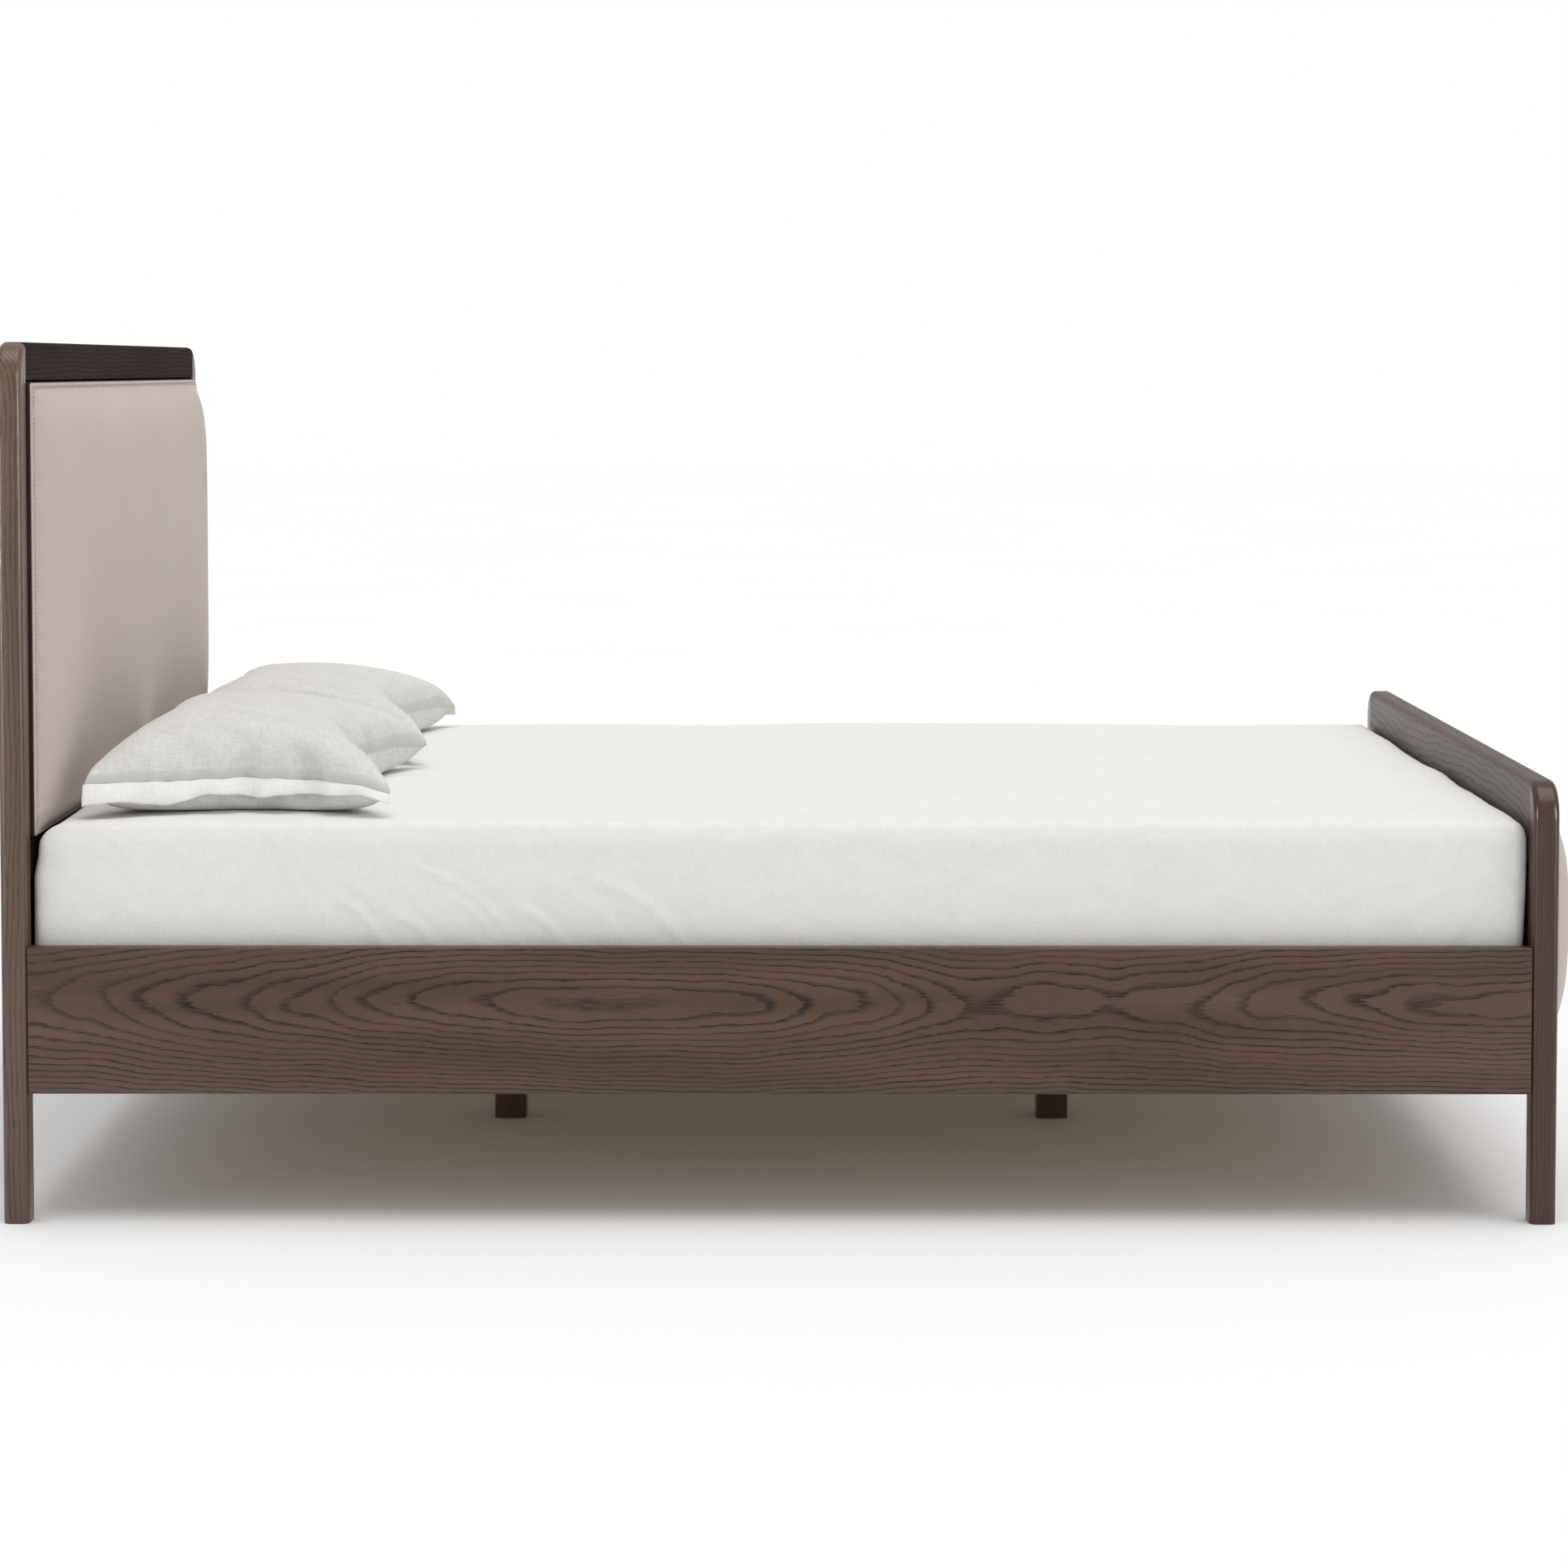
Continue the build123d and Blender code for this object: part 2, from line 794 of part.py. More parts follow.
with BuildPart() as mattress_core:
    add(filling)
    split(bisect_by=filling_cut, keep=Keep.BOTTOM)
save(mattress_core.part, "mattress_core")

with BuildPart() as comfort_layer:
    add(filling)
    split(bisect_by=filling_cut, keep=Keep.TOP)
save(comfort_layer.part, "mattress_comfort_layer")

pillow_low = mattress_top + rest_clearance
pillow_x = head_front + pad_crown + pillow_head_gap + pillow_length / 2
for name, side in SIDES.items():
    with BuildPart() as pillow:
        levels = [
            (pillow_low, pillow_bottom_inset),
            (pillow_low + pillow_edge_height, 0.0),
            (pillow_low + pillow_height, pillow_top_inset),
        ]
        for (z_a, inset_a), (z_b, inset_b) in zip(levels, levels[1:]):
            for z, inset in ((z_a, inset_a), (z_b, inset_b)):
                with BuildSketch(Plane.XY.offset(z)):
                    with Locations((pillow_x, side * (pillow_width + pillow_middle_gap) / 2)):
                        Rectangle(pillow_length - 2 * inset, pillow_width - 2 * inset)
            loft(ruled=True)
    save(pillow.part, f"pillow_{name}")
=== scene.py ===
"""Looks of the low panel bed: stained timber, upholstered end pads, made-up mattress, pillows.

Metres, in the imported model's frame: +X runs from the headboard to the footboard, +Y to the left
of someone lying in the bed and +Z up. The near side of the bed is its right side, at -Y.
"""

import json
import logging
import math
from dataclasses import dataclass, field, replace
from enum import Enum
from typing import Sequence

import bpy
import numpy as np
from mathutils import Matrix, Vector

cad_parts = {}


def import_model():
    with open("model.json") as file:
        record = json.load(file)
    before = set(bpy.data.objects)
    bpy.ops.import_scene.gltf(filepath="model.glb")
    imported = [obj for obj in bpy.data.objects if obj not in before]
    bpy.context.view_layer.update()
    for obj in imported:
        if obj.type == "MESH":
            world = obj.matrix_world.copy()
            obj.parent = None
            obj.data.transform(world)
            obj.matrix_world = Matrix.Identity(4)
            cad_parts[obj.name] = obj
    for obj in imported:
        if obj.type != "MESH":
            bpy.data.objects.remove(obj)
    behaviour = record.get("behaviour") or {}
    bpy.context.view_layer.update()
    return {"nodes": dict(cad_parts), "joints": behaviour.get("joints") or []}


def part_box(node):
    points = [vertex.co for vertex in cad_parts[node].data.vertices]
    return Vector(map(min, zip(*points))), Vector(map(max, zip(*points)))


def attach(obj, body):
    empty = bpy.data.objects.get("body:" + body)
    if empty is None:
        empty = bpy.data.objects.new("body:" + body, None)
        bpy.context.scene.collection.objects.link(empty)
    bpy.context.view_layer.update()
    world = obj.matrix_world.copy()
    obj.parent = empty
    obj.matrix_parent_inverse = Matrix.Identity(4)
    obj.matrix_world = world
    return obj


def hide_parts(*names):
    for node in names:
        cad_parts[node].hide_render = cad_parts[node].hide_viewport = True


Array = np.ndarray
Colour = tuple[float, float, float]
Limits = tuple[float, float]
Socket = bpy.types.NodeSocket

log = logging.getLogger("bed")


def srgb(red: int, green: int, blue: int) -> Colour:
    """Turn a display colour into the linear one that shaders take.

    Args:
        red, green, blue: The display colour, each from 0 to 255.

    Returns:
        The same colour as linear light, each part from 0 to 1.
    """
    parts = np.array((red, green, blue)) / 255.0
    line = np.where(parts <= 0.04045, parts / 12.92, ((parts + 0.055) / 1.055) ** 2.4)
    return tuple(float(part) for part in line)


# ---------------------------------------------------------------- surfaces


def graded(low: float, high: float, edge: float, fine: float, coarse: float) -> Array:
    """Places from low to high, close together near both ends.

    Args:
        low, high: The first and last place.
        edge: How far in from each end the close spacing goes.
        fine: The spacing near the ends.
        coarse: The spacing between them.

    Returns:
        The places, ascending.
    """
    near = math.ceil(edge / fine)
    far = max(1, math.ceil((high - low - 2 * edge) / coarse))
    return np.concatenate(
        [
            np.linspace(low, low + edge, near, endpoint=False),
            np.linspace(low + edge, high - edge, far, endpoint=False),
            np.linspace(high - edge, high, near + 1),
        ]
    )


def waves(places: Array, lengths: Sequence[float], seed: int, count: int = 14) -> Array:
    """A smooth random field of about unit size.

    It is the sum of cosines with crests in random directions, scaled to a unit spread.

    Args:
        places: One row per point.
        lengths: The typical wavelength along each column.
        seed: Which field.
        count: How many cosines.

    Returns:
        One value per point.
    """
    rng = np.random.default_rng(seed)
    heading = rng.normal(size=(count, len(lengths)))
    heading /= np.linalg.norm(heading, axis=1, keepdims=True)
    steps = 2 * math.pi * heading * rng.uniform(0.6, 1.4, (count, 1)) / np.array(lengths)
    phase = rng.uniform(0, 2 * math.pi, count)
    return np.cos(places @ steps.T + phase).sum(axis=1) * math.sqrt(2 / count)


@dataclass
class Skin:
    """A surface of quads that is still being shaped.

    Args:
        points: One row per point.
        quads: Four point numbers per face, anticlockwise seen from outside.
        net: The place of each face corner on the unfolded cloth, in metres.
        origin: Where each point lay on the plain block that it came from.
    """

    points: Array
    quads: Array
    net: Array
    origin: Array

    def normals(self) -> Array:
        """Outward unit normal at each point, the mean of its faces' by area."""
        a, b, c, d = (self.points[self.quads[:, i]] for i in range(4))
        across = np.cross(c - a, d - b)
        total = np.zeros_like(self.points)
        for i in range(4):
            np.add.at(total, self.quads[:, i], across)
        return total / np.maximum(np.linalg.norm(total, axis=1, keepdims=True), 1e-12)

    def push(self, height: Array) -> None:
        """Move each point outward by its height.

        Args:
            height: One distance per point.
        """
        self.points = self.points + self.normals() * height[:, None]

    def keep(self, kept: Array) -> None:
        """Drop every face that isn't kept, and the points that no face then uses.

        Args:
            kept: One truth per face.
        """
        self.quads, self.net = self.quads[kept], self.net[kept]
        used, numbers = np.unique(self.quads, return_inverse=True)
        self.quads = numbers.reshape(self.quads.shape)
        self.points, self.origin = self.points[used], self.origin[used]

    def area(self) -> float:
        """Surface area in square metres."""
        a, b, c, d = (self.points[self.quads[:, i]] for i in range(4))
        return float(np.linalg.norm(np.cross(c - a, d - b), axis=1).sum() / 2)

    def build(self, name: str, material: bpy.types.Material) -> bpy.types.Object:
        """Make the surface an object, smooth shaded, with its net as the UV map "weave".

        Args:
            name: The object's name.
            material: Its finish.

        Returns:
            The object, in the scene.
        """
        mesh = bpy.data.meshes.new(name)
        mesh.from_pydata(self.points.tolist(), [], self.quads.tolist())
        weave = mesh.uv_layers.new(name="weave")
        weave.uv.foreach_set("vector", self.net.astype(np.float32).ravel())
        mesh.polygons.foreach_set("use_smooth", np.ones(len(self.quads), dtype=bool))
        mesh.materials.append(material)
        mesh.update()
        obj = bpy.data.objects.new(name, mesh)
        bpy.context.scene.collection.objects.link(obj)
        return obj


def rounded_block(lines: Sequence[Array], radii: Sequence[float], front: int) -> Skin:
    """A closed block with rounded edges and corners.

    Every point starts on a face of a plain block. The part of it that lies beyond the block shrunk
    by the radii is divided by them, scaled to unit length and multiplied by them again, which
    makes each edge a quarter ellipse and each corner an eighth of an ellipsoid.

    Args:
        lines: The grid places along x, y and z.
        radii: The rounding along x, y and z.
        front: The axis whose high face lies flat in the middle of the unfolded net.

    Returns:
        The block's skin.
    """
    counts = tuple(len(line) for line in lines)
    corners, nets = [], []
    for axis in range(3):
        first, second = (axis + 1) % 3, (axis + 2) % 3
        i, j = np.meshgrid(np.arange(counts[first]), np.arange(counts[second]), indexing="ij")
        for end in (0, 1):
            place = np.empty(i.shape + (3,), dtype=int)
            place[..., axis] = end * (counts[axis] - 1)
            place[..., first] = i
            place[..., second] = j
            quad = np.stack([place[:-1, :-1], place[1:, :-1], place[1:, 1:], place[:-1, 1:]], axis=2)
            quad = quad.reshape(-1, 4, 3)
            if end == 0:
                quad = quad[:, ::-1]
            corners.append(quad)
            spot = np.stack([lines[k][quad[..., k]] for k in range(3)], axis=-1)
            beside = [k for k in range(3) if k != front]
            net = spot[..., beside]
            if axis != front:
                drop = lines[front][-1] - spot[..., front]
                net[..., beside.index(axis)] += drop if end else -drop
            nets.append(net)
    quads = np.concatenate(corners)
    keys = np.ravel_multi_index(tuple(quads[..., k] for k in range(3)), counts)
    used, numbers = np.unique(keys, return_inverse=True)
    index = np.unravel_index(used, counts)
    origin = np.stack([lines[k][index[k]] for k in range(3)], axis=-1)
    round_by = np.array(radii)
    low = np.array([line[0] for line in lines]) + round_by
    high = np.array([line[-1] for line in lines]) - round_by
    inner = np.clip(origin, low, high)
    beyond = (origin - inner) / round_by
    beyond /= np.linalg.norm(beyond, axis=1, keepdims=True)
    points = inner + beyond * round_by
    return Skin(points, numbers.reshape(-1, 4), np.concatenate(nets), origin)


@dataclass(frozen=True)
class Stitching:
    """A row of thread stitches along a path.

    Args:
        length: Length of one stitch.
        pitch: Distance from one stitch to the next.
        radius: Thickness of the thread, halved.
    """

    length: float = 0.0042
    pitch: float = 0.0060
    radius: float = 0.00055
    rings: int = 5
    around: int = 6

    def row(self, name: str, path: Array, up: Array, material: bpy.types.Material) -> bpy.types.Object:
        """Lay the stitches along a closed path.

        Each stitch is a short tube along the path. Its radius follows the root of a sine, so that
        both ends close, and it arches out of the cloth by half a sine.

        Args:
            name: The object's name.
            path: Points of the closed path, close together.
            up: Outward unit direction at each point.
            material: The thread's finish.

        Returns:
            The object with every stitch.
        """
        loop = np.vstack([path, path[:1]])
        steps = np.linalg.norm(np.diff(loop, axis=0), axis=1)
        along = np.concatenate([[0.0], np.cumsum(steps)])
        starts = np.arange(0, along[-1] - self.pitch, self.pitch) + self.pitch / 2
        tips = np.vstack([up, up[:1]])
        centre = np.stack([np.interp(starts, along, loop[:, k]) for k in range(3)], axis=1)
        after = np.stack([np.interp(starts + 0.001, along, loop[:, k]) for k in range(3)], axis=1)
        rise = np.stack([np.interp(starts, along, tips[:, k]) for k in range(3)], axis=1)
        ahead = after - centre
        ahead /= np.linalg.norm(ahead, axis=1, keepdims=True)
        aside = np.cross(ahead, rise)
        s = np.linspace(0, 1, self.rings)
        turn = np.linspace(0, 2 * math.pi, self.around, endpoint=False)
        thick = self.radius * np.sqrt(np.sin(math.pi * (0.06 + 0.88 * s)))
        forth = ((s - 0.5) * self.length)[None, :, None, None] * ahead[:, None, None, :]
        arch = (np.sin(math.pi * s) * self.radius)[None, :, None, None] * rise[:, None, None, :]
        out = (thick[:, None] * np.cos(turn))[None, :, :, None] * rise[:, None, None, :]
        out = out + (thick[:, None] * np.sin(turn))[None, :, :, None] * aside[:, None, None, :]
        points = centre[:, None, None, :] + forth + arch + out
        number = np.arange(points[..., 0].size).reshape(points.shape[:3])
        turned = np.roll(number, -1, axis=2)
        quads = np.stack([number[:, :-1], number[:, 1:], turned[:, 1:], turned[:, :-1]], axis=-1)
        faces = quads.reshape(-1, 4).tolist()
        faces += number[:, 0].tolist()
        faces += number[:, -1, ::-1].tolist()
        mesh = bpy.data.meshes.new(name)
        mesh.from_pydata(points.reshape(-1, 3).tolist(), [], faces)
        mesh.polygons.foreach_set("use_smooth", np.ones(len(faces), dtype=bool))
        mesh.materials.append(material)
        mesh.update()
        obj = bpy.data.objects.new(name, mesh)
        bpy.context.scene.collection.objects.link(obj)
        return obj


# ---------------------------------------------------------------- shader graphs


@dataclass
class Graph:
    """A shader node tree being filled in."""

    tree: bpy.types.NodeTree

    def add(self, kind: str, inputs: dict | None = None, **settings: object) -> bpy.types.Node:
        """Add a node.

        Args:
            kind: Blender's name of the node type, without "ShaderNode".
            inputs: What each input takes: a socket to link from, or a plain value.
            settings: Properties of the node itself.

        Returns:
            The node.
        """
        node = self.tree.nodes.new(f"ShaderNode{kind}")
        for name, value in settings.items():
            setattr(node, name, value)
        for name, value in (inputs or {}).items():
            self.feed(node.inputs[name], value)
        return node

    def feed(self, socket: Socket, value: object) -> None:
        """Link a socket to the input, or set a plain value on it."""
        if isinstance(value, bpy.types.NodeSocket):
            self.tree.links.new(value, socket)
        elif socket.type == "RGBA":
            socket.default_value = (*value, 1.0)
        else:
            socket.default_value = value

    def math(self, operation: str, *values: object) -> Socket:
        """One arithmetic step on sockets or numbers."""
        node = self.add("Math", operation=operation)
        for place, value in enumerate(values):
            self.feed(node.inputs[place], value)
        return node.outputs[0]

    def blend(self, amount: object, first: object, second: object) -> Socket:
        """A colour between two others."""
        node = self.add("Mix", data_type="RGBA")
        self.feed(node.inputs[0], amount)
        self.feed(node.inputs[6], first)
        self.feed(node.inputs[7], second)
        return node.outputs[2]

    def spread(self, value: Socket, source: Limits, target: Limits, soft: bool = False) -> Socket:
        """Map one range of a value to another, clamped, with eased ends if soft."""
        kind = "SMOOTHSTEP" if soft else "LINEAR"
        node = self.add("MapRange", interpolation_type=kind)
        for place, number in enumerate((value, *source, *target)):
            self.feed(node.inputs[place], number)
        return node.outputs[0]

    def stretch(self, vector: Socket, scale: Sequence[float]) -> Socket:
        """A vector scaled along each axis."""
        return self.add("Mapping", {"Vector": vector, "Scale": scale}).outputs[0]

    def noise(self, vector: Socket, scale: float, detail: float = 2.0, rough: float = 0.5) -> Socket:
        """Smooth noise about one half."""
        inputs = {"Vector": vector, "Scale": scale, "Detail": detail, "Roughness": rough}
        return self.add("TexNoise", inputs).outputs[0]

    def object_place(self) -> Socket:
        """The shaded point in the object's own space."""
        return self.add("TexCoord").outputs["Object"]


class Effect(Enum):
    """The shared shading effects, each a node group made once."""

    FIGURE = "timber_figure"
    WORN_EDGE = "worn_edge"
    WEAVE = "plain_weave"
    MOTTLE = "mottle"

    def group(self) -> bpy.types.NodeTree:
        """The effect's node group, made the first time it is asked for."""
        made = bpy.data.node_groups.get(self.value)
        if made is not None:
            return made
        makers = {
            Effect.FIGURE: make_figure,
            Effect.WORN_EDGE: make_worn_edge,
            Effect.WEAVE: make_weave,
            Effect.MOTTLE: make_mottle,
        }
        tree = bpy.data.node_groups.new(self.value, "ShaderNodeTree")
        makers[self](tree)
        return tree

    def use(self, graph: Graph, inputs: dict) -> bpy.types.Node:
        """Put the effect into a material's graph."""
        node = graph.tree.nodes.new("ShaderNodeGroup")
        node.node_tree = self.group()
        for name, value in inputs.items():
            graph.feed(node.inputs[name], value)
        return node


def open_group(tree: bpy.types.NodeTree, inputs: dict[str, float | None], outputs: Sequence[str]):
    """Give a node group its sockets.

    Args:
        tree: The node group.
        inputs: Each input's first value, or None for a vector.
        outputs: The names of the values it gives.

    Returns:
        The graph, the inputs' sockets by name and the output node.
    """
    for name, value in inputs.items():
        kind = "NodeSocketVector" if value is None else "NodeSocketFloat"
        socket = tree.interface.new_socket(name, in_out="INPUT", socket_type=kind)
        if value is not None:
            socket.default_value = value
    for name in outputs:
        tree.interface.new_socket(name, in_out="OUTPUT", socket_type="NodeSocketFloat")
    given = tree.nodes.new("NodeGroupInput").outputs
    result = tree.nodes.new("NodeGroupOutput")
    return Graph(tree), {name: given[name] for name in inputs}, result


# Depth of the pith behind the board's face, from the board's head end to its foot end
PITH_DEPTHS = (
    (0.021, 0.80),
    (0.091, 0.66),
    (0.171, 0.44),
    (0.226, 0.27),
    (0.281, 0.135),
    (0.337, 0.05),
    (0.387, 0.0),
    (0.437, 0.04),
    (0.491, 0.12),
    (0.546, 0.26),
    (0.596, 0.41),
    (0.626, 0.455),
    (0.649, 0.44),
    (0.676, 0.47),
    (0.706, 0.455),
    (0.761, 0.35),
    (0.821, 0.22),
    (0.891, 0.10),
    (0.971, 0.02),
)


def make_figure(tree: bpy.types.NodeTree) -> None:
    """Growth rings of a ring-porous timber, cut by the surface.

    The ring number is the distance from the pith divided by the ring spacing. The pith runs along
    the board at a wandering height and depth, so that flat-sawn faces show nested ovals. Each
    ring starts with a dark porous line, broken up by long thin pores.
    """
    inputs = {
        "Place": None,
        "Ring Spacing": 0.008,
        "Pith Height": 0.0,
        "Pith Depth": 0.06,
        "Figure": 1.0,
    }
    graph, given, result = open_group(tree, inputs, ("Line", "Pore", "Tone"))
    parts = graph.add("SeparateXYZ", {0: given["Place"]}).outputs
    share = graph.math("MULTIPLY_ADD", parts[0], 1 / 2.2, 0.5)
    ramp = graph.add("ValToRGB", {"Fac": share})
    ramp.color_ramp.interpolation = "CARDINAL"
    stops = ramp.color_ramp.elements
    for number, (position, level) in enumerate(PITH_DEPTHS):
        stop = stops[number] if number < 2 else stops.new(position)
        stop.position = position
        stop.color = (level, level, level, 1.0)
    swing = graph.math("MULTIPLY", ramp.outputs[0], graph.math("MULTIPLY", given["Figure"], 0.075))
    drift = graph.noise(graph.stretch(given["Place"], (1.6, 2.0, 2.0)), 1.0, 1.0)
    drift = graph.math("MULTIPLY", graph.math("SUBTRACT", drift, 0.5), 0.03)
    height = graph.math("SUBTRACT", parts[1], graph.math("ADD", given["Pith Height"], drift))
    depth = graph.math("ADD", graph.math("ADD", given["Pith Depth"], swing), parts[2])
    square = graph.math("MULTIPLY_ADD", height, height, graph.math("MULTIPLY", depth, depth))
    radius = graph.math("SQRT", square)
    bend = graph.noise(graph.stretch(given["Place"], (6.5, 10.0, 10.0)), 1.0, 2.0)
    ragged = graph.noise(graph.stretch(given["Place"], (34.0, 300.0, 300.0)), 1.0, 3.0, 0.65)
    radius = graph.math("MULTIPLY_ADD", graph.math("SUBTRACT", bend, 0.5), 0.015, radius)
    radius = graph.math("MULTIPLY_ADD", graph.math("SUBTRACT", ragged, 0.5), 0.0030, radius)
    ring = graph.math("DIVIDE", radius, given["Ring Spacing"])
    start = graph.spread(graph.math("FRACT", ring), (0.02, 0.36), (1.0, 0.0), soft=True)
    lead = graph.spread(graph.math("FRACT", ring), (0.92, 1.0), (0.0, 1.0), soft=True)
    line = graph.math("MAXIMUM", start, lead)
    pores = graph.noise(graph.stretch(given["Place"], (24.0, 620.0, 620.0)), 1.0, 2.0, 0.6)
    broken = graph.spread(pores, (0.40, 0.56), (0.30, 1.0))
    chance = graph.noise(graph.add("CombineXYZ", {"X": ring, "Y": 0.5}).outputs[0], 0.37, 1.0)
    chance = graph.spread(chance, (0.38, 0.60), (0.6, 1.0))
    strong = graph.math("MULTIPLY", graph.math("MULTIPLY", line, broken), chance)
    fine = graph.noise(graph.stretch(given["Place"], (38.0, 900.0, 900.0)), 1.0, 1.0)
    slow = graph.noise(graph.stretch(given["Place"], (1.5, 14.0, 14.0)), 1.0, 2.0)
    graph.feed(result.inputs["Line"], strong)
    graph.feed(result.inputs["Pore"], graph.spread(fine, (0.60, 0.72), (0.0, 1.0)))
    graph.feed(result.inputs["Tone"], slow)


def make_worn_edge(tree: bpy.types.NodeTree) -> None:
    """How close a point is to an outward edge, broken up by rubbing.

    A normal rounded over the radius turns away from the true one near an edge, and the mask
    follows one less their dot product.
    """
    graph, given, result = open_group(tree, {"Place": None, "Radius": 0.003}, ("Edge",))
    rounded = graph.add("Bevel", {"Radius": given["Radius"]}, samples=4).outputs[0]
    true = graph.add("NewGeometry").outputs["Normal"]
    same = graph.add("VectorMath", {0: rounded, 1: true}, operation="DOT_PRODUCT").outputs["Value"]
    away = graph.spread(graph.math("SUBTRACT", 1.0, same), (0.01, 0.22), (0.0, 1.0))
    rubbed = graph.spread(graph.noise(given["Place"], 22.0, 4.0), (0.35, 0.62), (0.25, 1.0))
    graph.feed(result.inputs["Edge"], graph.math("MULTIPLY", away, rubbed))


def make_weave(tree: bpy.types.NodeTree) -> None:
    """A plain weave of slubby thread.

    Warp and weft are sine ridges across each direction. Their strength follows noise drawn out
    along the thread, which makes the thick and thin places of linen.
    """
    graph, given, result = open_group(tree, {"Place": None, "Thread": 0.001}, ("Height", "Slub"))
    parts = graph.add("SeparateXYZ", {0: given["Place"]}).outputs
    heights, slubs = [], []
    for across, drawn in ((0, (1.0, 0.14, 1.0)), (1, (0.14, 1.0, 1.0))):
        turns = graph.math("DIVIDE", parts[across], given["Thread"])
        ridge = graph.math("SINE", graph.math("MULTIPLY", turns, math.pi))
        local = graph.add("VectorMath", {0: given["Place"]}, operation="SCALE")
        graph.feed(local.inputs["Scale"], graph.math("DIVIDE", 0.42, given["Thread"]))
        slub = graph.noise(graph.stretch(local.outputs[0], drawn), 1.0, 2.0, 0.6)
        slubs.append(slub)
        heights.append(graph.math("MULTIPLY", graph.math("MULTIPLY", ridge, ridge), slub))
    graph.feed(result.inputs["Height"], graph.math("MAXIMUM", *heights))
    total = graph.math("ADD", *slubs)
    graph.feed(result.inputs["Slub"], graph.spread(total, (0.72, 1.28), (0.0, 1.0)))


def make_mottle(tree: bpy.types.NodeTree) -> None:
    """Cloudy variation at three sizes, from 0 to 1."""
    graph, given, result = open_group(tree, {"Place": None, "Size": 0.1}, ("Cloud",))
    scaled = graph.add("VectorMath", {0: given["Place"]}, operation="SCALE")
    graph.feed(scaled.inputs["Scale"], graph.math("DIVIDE", 1.0, given["Size"]))
    cloud = graph.noise(scaled.outputs[0], 1.0, 3.0, 0.55)
    graph.feed(result.inputs["Cloud"], graph.spread(cloud, (0.3, 0.7), (0.0, 1.0)))


# ---------------------------------------------------------------- finishes


def new_material(name: str) -> tuple[bpy.types.Material, Graph, bpy.types.Node]:
    """A material with an empty graph round one surface shader.

    Args:
        name: The material's name.

    Returns:
        The material, its graph and the surface shader.
    """
    material = bpy.data.materials.new(name)
    material.use_nodes = True
    material.node_tree.nodes.clear()
    graph = Graph(material.node_tree)
    shader = graph.add("BsdfPrincipled")
    output = graph.add("OutputMaterial")
    graph.feed(output.inputs["Surface"], shader.outputs[0])
    return material, graph, shader


class Grain(Enum):
    """Which way a timber's grain runs."""

    LENGTHWISE = "x"
    CROSSWISE = "y"
    UPRIGHT = "z"


@dataclass(frozen=True)
class Timber:
    """A solid or veneered timber under stain and satin lacquer.

    Args:
        name: The material's name.
        pale, deep: The ground colours it drifts between.
        line: The colour of the ring lines and pores.
        grain: Which way the grain runs.
        ring_spacing: Distance between growth rings.
        pith_height: Where the pith runs across the board.
        pith_depth: How far behind the face the pith runs at its nearest.
        figure: How far the pith swings in and out, from 0, straight, to 1.
        contrast: Strength of the lines, from 0 to 1.
        roughness: Of the lacquer.
        gloss: Strength of the lacquer's reflection.
    """

    name: str
    pale: Colour
    deep: Colour
    line: Colour
    grain: Grain
    ring_spacing: float = 0.008
    pith_height: float = 0.0
    pith_depth: float = 0.5
    figure: float = 0.0
    contrast: float = 0.9
    roughness: float = 0.42
    gloss: float = 0.2

    def place(self, graph: Graph) -> Socket:
        """The shaded point as (along, across, inward) of the grain."""
        parts = graph.add("SeparateXYZ", {0: graph.object_place()}).outputs
        x, y, z = parts[0], parts[1], parts[2]
        if self.grain is Grain.LENGTHWISE:
            inward = graph.math("SUBTRACT", 0.797, graph.math("ABSOLUTE", y))
            picks = (x, z, inward)
        elif self.grain is Grain.CROSSWISE:
            picks = (y, graph.math("MULTIPLY_ADD", x, 0.8, z), graph.math("SUBTRACT", x, z))
        else:
            picks = (z, graph.math("ADD", x, y), graph.math("SUBTRACT", x, y))
        return graph.add("CombineXYZ", dict(enumerate(picks))).outputs[0]

    def material(self) -> bpy.types.Material:
        """Make the finish."""
        material, graph, shader = new_material(self.name)
        place = self.place(graph)
        figure = Effect.FIGURE.use(
            graph,
            {
                "Place": place,
                "Ring Spacing": self.ring_spacing,
                "Pith Height": self.pith_height,
                "Pith Depth": self.pith_depth,
                "Figure": self.figure,
            },
        ).outputs
        tone = graph.spread(figure["Tone"], (0.32, 0.68), (0.0, 1.0))
        ground = graph.blend(tone, self.deep, self.pale)
        dark = graph.math("POWER", graph.math("MULTIPLY", figure["Line"], self.contrast), 0.85)
        dark = graph.math("MAXIMUM", dark, graph.math("MULTIPLY", figure["Pore"], 0.35 * self.contrast))
        wood = graph.blend(dark, ground, self.line)
        edge = Effect.WORN_EDGE.use(graph, {"Place": graph.object_place(), "Radius": 0.003}).outputs[0]
        worn = tuple(min(1.0, part * 1.5 + 0.01) for part in self.pale)
        wood = graph.blend(graph.math("MULTIPLY", edge, 0.35), wood, worn)
        graph.feed(shader.inputs["Base Color"], wood)
        rough = graph.math("MULTIPLY_ADD", figure["Line"], 0.12, self.roughness)
        graph.feed(shader.inputs["Roughness"], rough)
        bump = graph.add("Bump", {"Strength": 0.22, "Distance": 0.0006}, invert=True)
        graph.feed(bump.inputs["Height"], dark)
        graph.feed(shader.inputs["Normal"], bump.outputs[0])
        shader.inputs["Specular IOR Level"].default_value = self.gloss
        return material


